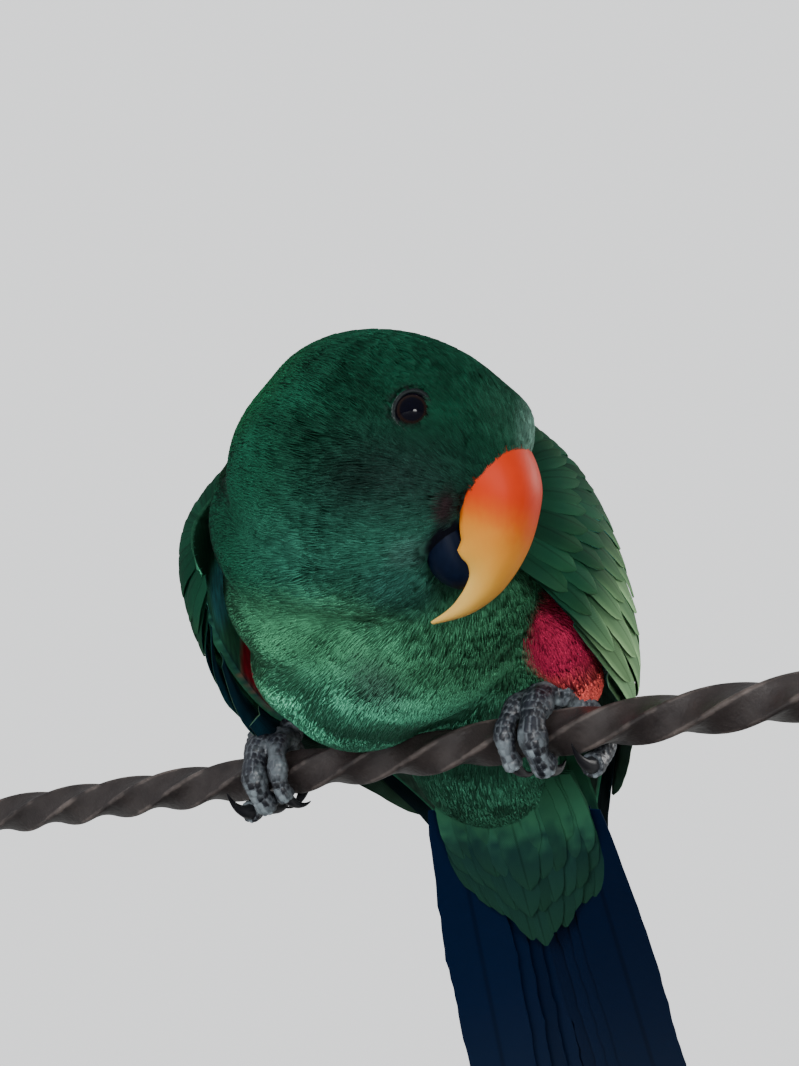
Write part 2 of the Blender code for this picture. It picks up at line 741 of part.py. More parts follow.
def tail(rooms):
    length = tail_axes()[-1]
    core = tail_core()
    pieces = []
    first, further = TAIL_OFFSET
    for i in range(TAIL_FEATHERS):
        for side in (1, -1):
            angle, offset = side * TAIL_SPREAD * (i + 0.4), side * (first + further * i)
            height = TAIL_TOP - TAIL_STEP * i - TAIL_STEP / 2 * (side > 0)
            reach = length - 3 - 0.35 * i**2
            pieces.append(tail_vane(5, reach, angle, offset, TAIL_WIDTH / 2, height, 0.0, 5))
    pieces += tail_coverts(*UNDERTAIL) + tail_coverts(*UPPERTAIL)
    obj = fuse(core, pieces)
    cut(obj, *rooms)
    return dress(obj, material("tail_blue_black", BLUE_BLACK, 0.5), 30)


# Legs and feet


def around_bar(x, turn, reach):
    """A point beside the bar, turned from its top towards its front, in degrees."""
    a = math.radians(turn)
    return Vector((x, -reach * math.sin(a), PERCH_HEIGHT + reach * math.cos(a)))


def toe_path(foot_x, spread, start, end_turn, radius):
    """The toe's middle line, from the ankle over the bar, with its radii."""
    points, radii = [], []
    way = 1 if end_turn > 0 else -1
    for k in range(TOE_STEPS + 1):
        t = k / TOE_STEPS
        turn = lerp(TOE_START * way, end_turn, t)
        reach = TOE_WRAP + TOE_RISE * math.exp(-((t - TOE_RISE_AT) / TOE_RISE_SPAN) ** 2)
        x = foot_x + lerp(start, spread, min(1.0, 1.6 * t))
        points.append(around_bar(x, turn, reach))
        knuckle = 1 + KNUCKLE_SWELL * math.cos(2 * math.pi * t * TOE_KNUCKLES)
        radii.append(radius * lerp(1.05, 0.86, t) * knuckle)
    return points, radii


def claw(name, points, radius):
    """A hooked claw that goes on from the end of a toe."""
    end, before = points[-1], points[-2]
    run = (end - before).normalized()
    inward = Vector((0, -end.y, PERCH_HEIGHT - end.z)).normalized()
    bend_radius = CLAW_LENGTH / math.radians(CLAW_TURN)
    path, radii = [], []
    for k in range(CLAW_STEPS + 1):
        t = k / CLAW_STEPS
        a = math.radians(CLAW_TURN) * t
        step = run * math.sin(a) * bend_radius + inward * (1 - math.cos(a)) * bend_radius
        path.append(end + run * GAP * 1.2 + step)
        radii.append(lerp(radius * CLAW_ROOT, CLAW_POINT, t**0.8))
    return dress(tube(name, path, radii, 6), material("claw_black", BLACK, 0.3), 50)


def leg(side, name, perch_room, rooms):
    foot_x = side * FOOT_SPREAD
    ankle = Vector(ANKLE[side]) + Vector((0, 0, PERCH_HEIGHT))
    top = body_point(*TARSUS_TOP[side])
    points = [ankle.lerp(top, t) for t in TARSUS_SHARES]
    shank = tube(name, points, TARSUS_RADII, 10)
    pieces, claws = [ball("ankle", ankle, ANKLE_RADIUS, 12, 8)], []
    for toe, spread, start, radius, end_turn in TOES:
        path, radii = toe_path(foot_x, side * spread, side * start, end_turn, radius)
        pieces.append(tube("toe", path, radii, 8))
        claws.append((f"claw_{name[4:]}_{toe}", path, radii[-1]))
    fuse(shank, pieces)
    cut(shank, perch_room, *rooms)
    for claw_name, path, radius in claws:
        made = claw(claw_name, path, radius)
        room = swollen(shank)
        cut(made, room, perch_room)
        drop(room)
    return dress(shank, material("foot_grey", GREY, 0.55), 50)


# Perch and stand


def perch():
    """A square bar, twisted to the left."""
    rings = []
    half, edge = PERCH_SIDE / 2, PERCH_EDGE
    corner = (Vector((half, half - edge)), Vector((half - edge, half)))
    quarters = [Matrix.Rotation(quarter * math.pi / 2, 2) for quarter in range(4)]
    profile = [turn @ point for turn in quarters for point in corner]
    for k in range(PERCH_STEPS + 1):
        x = PERCH_LENGTH * (k / PERCH_STEPS - 0.5)
        turned = [Matrix.Rotation(-2 * math.pi * x / PERCH_TURN, 2) @ point for point in profile]
        rings.append([Vector((x, point.x, PERCH_HEIGHT + point.y)) for point in turned])
    return dress(loft("perch_bar", rings), material("iron_paint", IRON, 0.45, 0.3), 35)


def stand(perch_room):
    bm = bmesh.new()
    bmesh.ops.create_cube(bm, size=1, matrix=Matrix.Translation((0, BASE_SHIFT_Y, BASE_THICK / 2))
                          @ Matrix.Diagonal((BASE_LENGTH, BASE_DEPTH, BASE_THICK, 1)))
    upright = [e for e in bm.edges if abs(e.verts[0].co.z - e.verts[1].co.z) > 1]
    bmesh.ops.bevel(bm, geom=upright, offset=BASE_CORNER, segments=6, affect="EDGES", profile=0.5)
    rim = [e for e in bm.edges if min(v.co.z for v in e.verts) > BASE_THICK - 0.1]
    bmesh.ops.bevel(bm, geom=rim, offset=BASE_EDGE, segments=2, affect="EDGES", profile=0.5)
    dress(object_from("stand_base", bm), material("stand_black", BASE_BLACK, 0.4), 30)
    for side, name in ((-1, "stand_rod_right"), (1, "stand_rod_left")):
        bm = bmesh.new()
        top, bottom = PERCH_HEIGHT, BASE_THICK + GAP
        place = Vector((side * (PERCH_LENGTH / 2 - ROD_INSET), 0, (top + bottom) / 2))
        bmesh.ops.create_cone(bm, cap_ends=True, segments=24, radius1=ROD_RADIUS, radius2=ROD_RADIUS,
                              depth=top - bottom, matrix=Matrix.Translation(place))
        rod = cut(object_from(name, bm), perch_room)
        dress(rod, material("stand_steel", STEEL, 0.3, 1.0), 30)


def build():
    bar = perch()
    perch_room = swollen(bar)
    stand(perch_room)
    head = melted("head", HEAD_FORMS, head_ellipsoid, HEAD_DETAIL)
    torso, neck = trunk_parts(head)
    face_rooms = [swollen(piece) for piece in face(head)]
    for node in (torso, neck):
        cut(node, *face_rooms)
    rooms = [swollen(node) for node in (head, torso, neck)] + face_rooms
    for node in (torso, neck):
        dress(node, material("plumage_green", GREEN, 0.7), 70)
    wings = [wing(1, "wing_left", rooms), wing(-1, "wing_right", rooms)]
    tail_node = tail(rooms)
    wing_rooms = [swollen(node) for node in wings]
    cut(tail_node, *wing_rooms)
    leg(1, "leg_left", perch_room, rooms + wing_rooms)
    leg(-1, "leg_right", perch_room, rooms + wing_rooms)
    cut(torso, perch_room)
    drop(perch_room, *rooms, *wing_rooms)


build()
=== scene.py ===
"""The looks of a male eclectus parrot, on a short length of twisted bar that a plain stand holds.

Lengths are in millimetres until a mesh is made. In the row frame +X runs along the bar to the
bird's left foot, -Y points to the side that the bird faces, and +Z is up.
"""

import math

import bmesh
import bpy
import numpy as np
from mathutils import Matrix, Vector, kdtree, noise
from mathutils.bvhtree import BVHTree


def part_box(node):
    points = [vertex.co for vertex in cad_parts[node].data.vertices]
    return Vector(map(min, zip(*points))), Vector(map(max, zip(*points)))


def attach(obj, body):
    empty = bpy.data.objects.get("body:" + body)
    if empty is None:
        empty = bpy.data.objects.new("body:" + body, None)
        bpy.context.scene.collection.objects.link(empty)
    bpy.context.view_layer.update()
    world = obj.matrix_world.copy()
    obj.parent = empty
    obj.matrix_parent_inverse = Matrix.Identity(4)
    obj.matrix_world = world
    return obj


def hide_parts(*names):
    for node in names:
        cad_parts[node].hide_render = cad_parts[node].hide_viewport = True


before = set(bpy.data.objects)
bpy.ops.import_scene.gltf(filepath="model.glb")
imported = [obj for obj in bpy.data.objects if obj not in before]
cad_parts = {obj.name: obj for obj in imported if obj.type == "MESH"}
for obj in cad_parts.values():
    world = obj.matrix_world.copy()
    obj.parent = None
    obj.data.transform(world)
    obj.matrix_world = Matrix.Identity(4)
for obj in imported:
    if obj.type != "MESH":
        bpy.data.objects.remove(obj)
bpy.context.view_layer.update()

# The camera looks up at the bird from in front and a little to its left. Its place was worked out from
# where the bar runs in the photograph and how far apart the bar's twists look.
MM = 0.001
CAMERA_PLACE = (234.5, -355.2, 21.05)
CAMERA_RISE, CAMERA_HEADING = math.radians(20.09), math.radians(33.63)
PHOTO_HEIGHT_PX, FOCAL_PX = 1066, 1750
SENSOR = 36.0

camera_data = bpy.data.cameras.new("camera")
camera_data.sensor_fit = "VERTICAL"
camera_data.sensor_height = SENSOR
camera_data.lens = SENSOR * FOCAL_PX / PHOTO_HEIGHT_PX
camera_data.clip_start = 0.01
camera = bpy.data.objects.new("camera", camera_data)
camera.location = Vector(CAMERA_PLACE) * MM
camera.rotation_euler = (math.pi / 2 + CAMERA_RISE, 0, CAMERA_HEADING)
bpy.context.scene.collection.objects.link(camera)
bpy.context.scene.camera = camera

# The studio: a pale floor that runs out of sight, a pale grey surround, a large soft window light from
# behind the bird's left shoulder, and two soft lights from low down, in front and at its left.
FLOOR_SIZE, FLOOR_DROP = 6.0, 0.0004
FLOOR_PAPER = (0.72, 0.72, 0.71)
SURROUND, SURROUND_LIGHT, SURROUND_SEEN = (0.80, 0.81, 0.82), 0.50, 1.7
LIGHTS = (  # name, place in metres, size, watts, colour
    ("window", (0.62, 0.72, 0.55), 0.6, 6.0, (1.0, 0.98, 0.95)),
    ("front", (0.0, -0.80, 0.03), 0.6, 9.0, (0.97, 0.98, 1.0)),
    ("low", (0.57, -0.62, 0.02), 0.25, 5.5, (1.0, 0.99, 0.97)),
)
LIGHTS_AIM = Vector((0.01, 0.0, 0.14))


def add_node(tree, kind, inputs=None, **settings):
    """A new node. inputs gives its sockets, by name or number, a value or another node's output."""
    made = tree.nodes.new(kind)
    for key, value in settings.items():
        setattr(made, key, value)
    for key, value in (inputs or {}).items():
        if isinstance(key, int):
            socket = made.inputs[key]
        else:
            socket = next(s for s in made.inputs if s.name == key and s.enabled)
        if isinstance(value, bpy.types.NodeSocket):
            tree.links.new(value, socket)
        else:
            socket.default_value = value
    return made


def socket_name(word):
    """A shader socket's name from a plain word, as Base Color from base_color."""
    return word.replace("_", " ").title().replace("Ior", "IOR")


def new_material(name, **constants):
    """A Principled material with these constant sockets. Returns it, its tree and its shader."""
    made = bpy.data.materials.new(name)
    made.use_nodes = True
    shader = made.node_tree.nodes["Principled BSDF"]
    for word, value in constants.items():
        shader.inputs[socket_name(word)].default_value = value
    return made, made.node_tree, shader


def feed(shader, **sources):
    """Links other nodes' outputs into sockets of a shader."""
    for word, source in sources.items():
        shader.id_data.links.new(source, shader.inputs[socket_name(word)])


def studio():
    bm = bmesh.new()
    bmesh.ops.create_grid(bm, x_segments=8, y_segments=8, size=FLOOR_SIZE / 2)
    mesh = bpy.data.meshes.new("floor")
    bm.to_mesh(mesh)
    bm.free()
    floor = bpy.data.objects.new("floor", mesh)
    floor.location.z = -FLOOR_DROP
    finish, tree, shader = new_material("floor_paper", base_color=(*FLOOR_PAPER, 1), roughness=0.75)
    mottle = add_node(tree, "ShaderNodeTexNoise", {"Scale": 30.0, "Detail": 4.0})
    bump = add_node(tree, "ShaderNodeBump", {"Height": mottle.outputs[0], "Strength": 0.02})
    feed(shader, normal=bump.outputs["Normal"])
    mesh.materials.append(finish)
    bpy.context.scene.collection.objects.link(floor)
    world = bpy.data.worlds.new("surround")
    world.use_nodes = True
    background = world.node_tree.nodes["Background"]
    background.inputs["Color"].default_value = (*SURROUND, 1)
    path = add_node(world.node_tree, "ShaderNodeLightPath")
    strength = add_node(world.node_tree, "ShaderNodeMapRange", {
        "Value": path.outputs["Is Camera Ray"], "To Min": SURROUND_LIGHT, "To Max": SURROUND_SEEN,
    })
    world.node_tree.links.new(strength.outputs[0], background.inputs["Strength"])
    bpy.context.scene.world = world
    for name, place, size, watts, colour in LIGHTS:
        light = bpy.data.lights.new(name, "AREA")
        light.shape = "DISK"
        light.size, light.energy, light.color = size, watts, colour
        lamp = bpy.data.objects.new(name, light)
        lamp.visible_glossy = name != "front"
        lamp.location = place
        lamp.rotation_euler = (LIGHTS_AIM - Vector(place)).to_track_quat("-Z", "Y").to_euler()
        bpy.context.scene.collection.objects.link(lamp)


studio()

# The bird's flesh under its plumage, as one skin over head, neck and body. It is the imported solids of
# those parts melted into one surface and drawn in by the depth of the coat that grows on it.
BODY_TURN = math.radians(12)  # from square on the bar, towards its left foot
STANCE = np.array((9.5, 0.0, 118.0))  # on the bar's axis, between the feet
HEAD_YAW, HEAD_DIP = math.radians(102.5), math.radians(20.5)
BILL_BASE = (17.0, 0.0, -11.0)  # in the head's frame; the coat spreads out from here
SKIN_NODES = ("head", "neck", "torso", "eye_left", "eye_right")
SKIN_VOXEL, SKIN_SOFTENING = 1.2, 26
COAT_DEPTH = ((6, 0.5), (12, 0.9), (30, 1.5), (60, 2.9), (200, 3.2))  # by distance from the bill's base
TUFT_SIZE = ((8, 0.40), (18, 0.58), (40, 0.80), (75, 1.0), (200, 1.2))  # the same, as a share
EYE_RADIUS = 4.4
BARE_RING = 5.3  # round each eye's middle, with no feathers
SWIRL = 0.20  # how far the coat's lie wanders, in radians

AHEAD = np.array((math.sin(BODY_TURN), -math.cos(BODY_TURN), 0.0))
LEFT = np.array((math.cos(BODY_TURN), math.sin(BODY_TURN), 0.0))
UP = np.array((0.0, 0.0, 1.0))


def unit(v):
    v = np.asarray(v, float)
    return v / np.maximum(np.linalg.norm(v, axis=-1, keepdims=True), 1e-9)


def body_direction(ahead, left, up):
    return ahead * AHEAD + left * LEFT + up * UP


def body_point(ahead, left, up):
    return STANCE + body_direction(ahead, left, up)


def body_places(points):
    """Row-frame points as (ahead, left, up) of the body."""
    away = points - STANCE
    return np.stack((away @ AHEAD, away @ LEFT, away @ UP), -1)


def middle_of(node):
    low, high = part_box(node)
    return np.array((low + high) / 2) / MM


EYES = {1: middle_of("eye_right"), -1: middle_of("eye_left")}
HEAD_ORIGIN = (EYES[1] + EYES[-1]) / 2
HEAD_RIGHT = unit(EYES[1] - EYES[-1])
HEAD_FRONT = body_direction(
    math.cos(HEAD_DIP) * math.cos(HEAD_YAW), math.cos(HEAD_DIP) * math.sin(HEAD_YAW), -math.sin(HEAD_DIP)
)
HEAD_FRONT = unit(HEAD_FRONT - HEAD_RIGHT * (HEAD_FRONT @ HEAD_RIGHT))
HEAD_UP = np.cross(HEAD_RIGHT, HEAD_FRONT)


def head_point(front, right, up):
    return HEAD_ORIGIN + front * HEAD_FRONT + right * HEAD_RIGHT + up * HEAD_UP


def head_places(points):
    """Row-frame points as (front, right, up) of the head."""
    away = points - HEAD_ORIGIN
    return np.stack((away @ HEAD_FRONT, away @ HEAD_RIGHT, away @ HEAD_UP), -1)


def smooth_step(value, low, high):
    t = np.clip((value - low) / (high - low), 0, 1)
    return t * t * (3 - 2 * t)


def graded(distance, pairs):
    at, values = zip(*pairs)
    return np.interp(distance, at, values)


def blob(places, centre, radii, soft=0.35):
    """1 inside an ellipsoid, falling to 0 across its soft edge."""
    reach = np.linalg.norm((places - np.array(centre)) / np.array(radii), axis=-1)
    return 1 - smooth_step(reach, 1 - soft, 1 + soft)


def mixed(colours, other, amount):
    return colours + (np.array(other) - colours) * np.asarray(amount)[..., None]


def even(colour, shape):
    """One colour for every point."""
    return np.broadcast_to(np.array(colour, float), (*shape, 3))


def wander(points, size):
    """A value for each point, above or below 0, that drifts over this many millimetres."""
    return np.array([noise.noise(Vector(p) / size) for p in points])


# CROWN_GREEN is the head's deep green made darker still as painted shade on the top of the head, and
# BELLY_GREEN is the belly's green made paler as painted light against the shade under the body.
CROWN_GREEN, BREAST_GREEN = (0.006, 0.062, 0.034), (0.058, 0.228, 0.118)
BACK_GREEN, BELLY_GREEN = (0.010, 0.110, 0.030), (0.105, 0.440, 0.270)
VENT_GREEN, BIB_GREEN = (0.045, 0.190, 0.110), (0.075, 0.290, 0.160)
# The second red is a paler, lit copy of the flank's red, painted light for its lower rear part.
FLANK_RED, FLANK_LIT_RED = (0.36, 0.016, 0.058), (1.0, 0.150, 0.120)
DOWN_GREY, BARE_GREY, GAPE_DARK = (0.034, 0.050, 0.048), (0.020, 0.024, 0.024), (0.003, 0.004, 0.010)
FACE_SPOTS = (  # colour, its share, middle and radii on either side of the head, softness of the border
    ((0.012, 0.037, 0.029), 1.0, (3, 14, -18), (18, 16, 13), 0.6),  # cheek
    ((0.018, 0.078, 0.047), 1.0, (20, 0, 4), (10, 12, 9), 0.5),  # forehead
    ((0.027, 0.140, 0.094), 1.0, (4, 0, -34), (26, 26, 16), 0.5),  # throat
)
BILL_SPOTS = (  # the same, round the root of the bill
    ((0.034, 0.150, 0.118), 0.8, (7, 3, -35), (8, 8, 6), 0.6),  # chin
    ((0.070, 0.200, 0.160), 0.8, (9, 10, -27), (4.5, 4, 4.5), 0.6),  # pale hairs beside the chin
    ((0.210, 0.430, 0.350), 0.8, (25, 0, 3), (4.5, 5.5, 7), 0.8),  # frosted brow over the bill
    ((0.022, 0.014, 0.016), 1.0, (13.2, 11.3, -16.2), (2.3, 2.3, 3.2), 0.4),  # brown corner of the mouth
)
BIB = ((-4, -5, -46), (15, 15, 6))  # lighter throat where the head meets the breast, in the head's frame: partly its own paler green, partly painted light against the shade under the bill
DOWN_PATCH = ((40, 2, 8), (8, 6, 8))  # where grey down shows on the breast, in the body's frame
FLANK = ((14, 40, 21), (17, 11, 15))  # the red under each wing: middle and radii


def either_side(head):
    """Places in the head's frame, with the left side laid over the right."""
    return np.stack((head[:, 0], np.abs(head[:, 1]), head[:, 2]), -1)


def plumage_colour(points):
    """The markings of the small feathers, with some painted light and shade: the colour at these points of
    the body.
    """
    head, body = head_places(points), body_places(points)
    face = either_side(head)
    ahead, left, up = body.T
    from_bill = np.linalg.norm(head - np.array(BILL_BASE), axis=-1)
    on_body = smooth_step(from_bill, 42, 66)
    # The head starts from CROWN_GREEN: its own deep green, darkened as painted shade.
    colours = even(CROWN_GREEN, ahead.shape)
    for colour, share, middle, radii, soft in FACE_SPOTS:
        colours = mixed(colours, colour, share * blob(face, middle, radii, soft))
    colours = mixed(colours, BREAST_GREEN, 1 - smooth_step(0.6 * ahead + 0.8 * up, 46, 62))
    colours = mixed(colours, BACK_GREEN, on_body * smooth_step(up, 45, 62))
    # Painted light: the belly gets BELLY_GREEN, paler than its own green, against the shade under the body.
    colours = mixed(colours, BELLY_GREEN, on_body * smooth_step(-up, -17, -5))
    colours = mixed(colours, VENT_GREEN, smooth_step(-ahead, 5, 30) * smooth_step(-up, -30, -12))
    # Partly painted light: the throat under the bill made lighter where the bill shades it.
    colours = mixed(colours, BIB_GREEN, 0.8 * blob(head, *BIB, 0.6) * (1 - smooth_step(from_bill, 36, 44)))
    # Painted light: the lower front of the body's right side made up to 1.6 times lighter, against the shade
    # that falls there.
    painted_light_low_right = smooth_step(-left, 14, 28) * smooth_step(-up, -24, -10) * smooth_step(ahead, 5, 20)
    colours = colours * (1 + 0.6 * painted_light_low_right)[:, None]
    for colour, share, middle, radii, soft in BILL_SPOTS:
        colours = mixed(colours, colour, share * blob(face, middle, radii, soft))
    colours = mixed(colours, GAPE_DARK, on_gape(head))
    colours = mixed(colours, DOWN_GREY, 0.7 * blob(body, *DOWN_PATCH, 0.8))
    # Painted light: the lower rear of each flank in the paler, lit copy of its red, where the light falls on
    # it.
    lit_flank = smooth_step(-up - 0.7 * ahead, -31, -15)
    red = mixed(even(FLANK_RED, ahead.shape), FLANK_LIT_RED, lit_flank)
    return colours + (red - colours) * on_flank(points, body)[:, None]


def on_gape(head):
    """1 on the bare dark skin behind the lower half of the bill."""
    return blob(either_side(head), (13.0, 8.0, -24.0), (4.0, 4.4, 6.5), 0.2)


def on_flank(points, body):
    """1 on the red feathers under each wing, with a ragged border."""
    ragged = wander(points, 2.2) * 2.0
    middle, radii = FLANK
    across = np.abs(body[:, 1])
    return blob(np.stack((body[:, 0] + ragged, across, body[:, 2] + ragged), -1), middle, radii, 0.10)


def mesh_piece(name, vertices, faces):
    """A new object from points in millimetres."""
    mesh = bpy.data.meshes.new(name)
    mesh.from_pydata([tuple(p) for p in np.asarray(vertices) * MM], [], faces)
    mesh.update()
    made = bpy.data.objects.new(name, mesh)
    bpy.context.scene.collection.objects.link(made)
    return made


def applied(obj):
    """Makes an object's evaluated mesh its own, and removes its modifiers."""
    bpy.context.view_layer.update()
    mesh = bpy.data.meshes.new_from_object(obj.evaluated_get(bpy.context.evaluated_depsgraph_get()))
    obj.modifiers.clear()
    old, obj.data = obj.data, mesh
    bpy.data.meshes.remove(old)
    mesh.name = obj.name
    return obj


def points_of(mesh):
    flat = np.empty(len(mesh.vertices) * 3)
    mesh.vertices.foreach_get("co", flat)
    return flat.reshape(-1, 3) / MM


def normals_of(mesh):
    flat = np.empty(len(mesh.vertices) * 3)
    mesh.vertices.foreach_get("normal", flat)
    return flat.reshape(-1, 3)


def store(mesh, name, values, kind="FLOAT"):
    """A named value, vector or colour for each vertex."""
    attribute = mesh.attributes.new(name, kind, "POINT")
    values = np.asarray(values, float)
    if kind == "FLOAT_COLOR":
        values = np.concatenate((values, np.ones((len(values), 1))), -1)
    field = {"FLOAT": "value", "FLOAT_VECTOR": "vector", "FLOAT_COLOR": "color"}[kind]
    attribute.data.foreach_set(field, values.ravel())


def melted(obj, voxel, softening):
    """Makes an object of crossing closed shapes one smooth closed surface."""
    melt = obj.modifiers.new("melt", "REMESH")
    melt.mode, melt.voxel_size = "VOXEL", voxel * MM
    soften = obj.modifiers.new("soften", "SMOOTH")
    soften.factor, soften.iterations = 0.5, softening
    return applied(obj)


def joined_copy(name, nodes):
    """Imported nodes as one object."""
    bm = bmesh.new()
    for node in nodes:
        bm.from_mesh(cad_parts[node].data)
    bmesh.ops.remove_doubles(bm, verts=bm.verts, dist=0.01 * MM)
    mesh = bpy.data.meshes.new(name)
    bm.to_mesh(mesh)
    bm.free()
    made = bpy.data.objects.new(name, mesh)
    bpy.context.scene.collection.objects.link(made)
    return made


def surface_tree(nodes):
    vertices, faces = [], []
    for node in nodes:
        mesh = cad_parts[node].data
        start = len(vertices)
        vertices += [v.co / MM for v in mesh.vertices]
        faces += [[start + i for i in polygon.vertices] for polygon in mesh.polygons]
    return BVHTree.FromPolygons(vertices, faces)


def covered(points, normals, nodes, reach):
    """Which points have one of these nodes close outside them."""
    tree = surface_tree(nodes)
    hits = [tree.ray_cast(Vector(p - n * 0.5), Vector(n), reach)[0] for p, n in zip(points, normals)]
    return np.array([hit is not None for hit in hits])


def skin():
    made = melted(joined_copy("skin", SKIN_NODES), SKIN_VOXEL, SKIN_SOFTENING)
    mesh = made.data
    points, normals = points_of(mesh), normals_of(mesh)
    base = head_point(*BILL_BASE)
    from_bill = np.linalg.norm(points - base, axis=-1)
    depth = graded(from_bill, COAT_DEPTH)
    near_eye = np.minimum(*(np.linalg.norm(points - EYES[side], axis=-1) for side in (1, -1)))
    depth *= 0.45 + 0.55 * smooth_step(near_eye, 5, 11)
    mesh.vertices.foreach_set("co", ((points - normals * depth[:, None]) * MM).ravel())
    mesh.update()
    normals = normals_of(mesh)
    radial, tailward = unit(points - base), unit(body_direction(-0.8, -0.05, -0.52))
    lie = radial + (tailward - radial) * smooth_step(from_bill, 45, 115)[:, None]
    lie = unit(lie - normals * np.sum(lie * normals, -1, keepdims=True))
    sway = SWIRL * wander(points, 13.0)[:, None]
    lie = unit(lie * np.cos(sway) + np.cross(normals, lie) * np.sin(sway))
    size = graded(from_bill, TUFT_SIZE) * (0.5 + 0.5 * smooth_step(near_eye, 5, 14))
    body = body_places(points)
    at_tail_root = smooth_step(-body[:, 0], 8, 30) * smooth_step(-body[:, 2], -20, -8)
    size *= 1 + 0.5 * at_tail_root
    bare = near_eye < BARE_RING
    gape = on_gape(head_places(points)) > 0.5
    hidden = covered(points, normals, ("bill_upper", "bill_lower"), 3.0)
    hidden |= covered(points, normals, ("wing_left", "wing_right", "tail"), 6.0)
    colour = plumage_colour(points)
    colour[bare] = BARE_GREY
    store(mesh, "depth", depth)
    store(mesh, "size", size)
    store(mesh, "grows", ~(bare | hidden | gape))
    store(mesh, "out", normals, "FLOAT_VECTOR")
    store(mesh, "lie", lie, "FLOAT_VECTOR")
    store(mesh, "plumage", colour, "FLOAT_COLOR")
    bpy.context.view_layer.objects.active = made
    bpy.ops.object.mode_set(mode="EDIT")
    bpy.ops.mesh.select_all(action="SELECT")
    bpy.ops.uv.smart_project(angle_limit=math.radians(66), island_margin=0.006)
    bpy.ops.object.mode_set(mode="OBJECT")
    mesh.uv_layers[0].name = "OFBake"
    mesh.shade_smooth()
    return made


def colour_of(tree, name):
    """A colour that the piece's mesh stores under this name."""
    return add_node(tree, "ShaderNodeAttribute", attribute_name=name).outputs["Color"]


def ranged(tree, value, span, result=(0.0, 1.0)):
    """A value moved from one span to another."""
    return add_node(tree, "ShaderNodeMapRange", {
        "Value": value, "From Min": span[0], "From Max": span[1], "To Min": result[0], "To Max": result[1],
    }).outputs[0]


def blended(tree, share, first, second, kind="MIX"):
    """A colour from two, which are each a socket or red, green and blue."""
    pair = {i: (*c, 1) if isinstance(c, tuple) else c for i, c in ((6, first), (7, second))}
    made = add_node(tree, "ShaderNodeMix", {"Factor": share, **pair}, data_type="RGBA", blend_type=kind)
    return made.outputs[2]


def node_group(name, kind, inputs, outputs):
    """A new node tree with named sockets. Returns it, what it is given, and where its results go."""
    tree = bpy.data.node_groups.new(name, kind)
    for way, sockets in (("INPUT", inputs), ("OUTPUT", outputs)):
        for socket, form in sockets.items():
            tree.interface.new_socket(socket, in_out=way, socket_type=f"NodeSocket{form}")
    return tree, tree.nodes.new("NodeGroupInput").outputs, tree.nodes.new("NodeGroupOutput").inputs


def grain_group():
    """Fine grain through a piece, with the roughness and the relief that follow it."""
    tree, given, result = node_group(
        "fine_grain", "ShaderNodeTree",
        {"Scale": "Float", "Detail": "Float", "Stretch": "Vector", "Least Roughness": "Float",
         "Most Roughness": "Float", "Relief": "Float", "Depth": "Float"},
        {"Grain": "Float", "Roughness": "Float", "Normal": "Vector"},
    )
    place = add_node(tree, "ShaderNodeTexCoord").outputs["Object"]
    drawn = add_node(tree, "ShaderNodeVectorMath", {0: place, 1: given["Stretch"]}, operation="MULTIPLY")
    grain = add_node(tree, "ShaderNodeTexNoise", {
        "Vector": drawn.outputs[0], "Scale": given["Scale"], "Detail": given["Detail"],
    }).outputs[0]
    rough = ranged(tree, grain, (0.0, 1.0), (given["Least Roughness"], given["Most Roughness"]))
    bump = add_node(tree, "ShaderNodeBump", {
        "Height": grain, "Strength": given["Relief"], "Distance": given["Depth"],
    })
    for name, source in (("Grain", grain), ("Roughness", rough), ("Normal", bump.outputs["Normal"])):
        tree.links.new(source, result[name])
    return tree


FINE_GRAIN = grain_group()


def grained(tree, scale, relief, depth, detail=2.0, stretch=(1.0, 1.0, 1.0), rough=(0.0, 1.0)):
    """Places the grain in a material, and returns its outputs. Its relief's depth is in metres."""
    return add_node(tree, "ShaderNodeGroup", {
        "Scale": scale, "Detail": detail, "Stretch": stretch, "Least Roughness": rough[0],
        "Most Roughness": rough[1], "Relief": relief, "Depth": depth,
    }, node_tree=FINE_GRAIN).outputs


def skin_finish():
    """The down under the feathers in their own colours, darkened as painted shade so that the gaps between
    the tufts look shadowed.
    """
    finish, tree, shader = new_material("skin_down", roughness=0.85, specular_ior_level=0.1)
    down = grained(tree, 900.0, 0.4, 0.0004)
    # Painted shade: the plumage colours darkened to between 0.4 and 0.9 of themselves, varying with the
    # grain.
    shade = ranged(tree, down["Grain"], (0.0, 1.0), (0.4, 0.9))
    dark = blended(tree, 1.0, colour_of(tree, "plumage"), shade, "MULTIPLY")
    feed(shader, base_color=dark, normal=down["Normal"])
    return finish


SKIN = skin()
SKIN.data.materials.append(skin_finish())
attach(SKIN, "root")
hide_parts("head", "neck", "torso")

# The small feathers of head, neck and body, as tufts of fine barbs that lie along the bird from its
# bill to its tail. Each tuft is closed blades, laid on the skin by the node tree below.
HAIR = {  # thick and low, a blade's thickness and the lowest blades' height, are shares of the coat's depth
    "barbs": 7, "length": 8.5, "width": 1.7, "blade": 0.34, "fan": 0.09, "bend": 0.10,
    "thick": 0.07, "low": 0.5,
}
PLUME = {
    "barbs": 10, "length": 13.0, "width": 3.8, "blade": 0.50, "fan": 0.11, "bend": 0.16,
    "thick": 0.022, "low": 0.93,
}
WIDEST = 0.38  # how far along a blade is at its widest
FORMS = 4  # different tufts of each kind
FACE_REACH = 27
HEAD_REACH = (34, 50)  # from the bill's base: where the head's tufts give way to the body's
FEATHER_SPREAD = 0.35  # how much lighter or darker single feathers are
ABOVE, FORWARD = 44, 20  # in the body's frame: where the back and the breast begin
PATCH_STEP = (0.003, 0.0015, 0.0)  # how far a tuft reaches over the picture of its piece


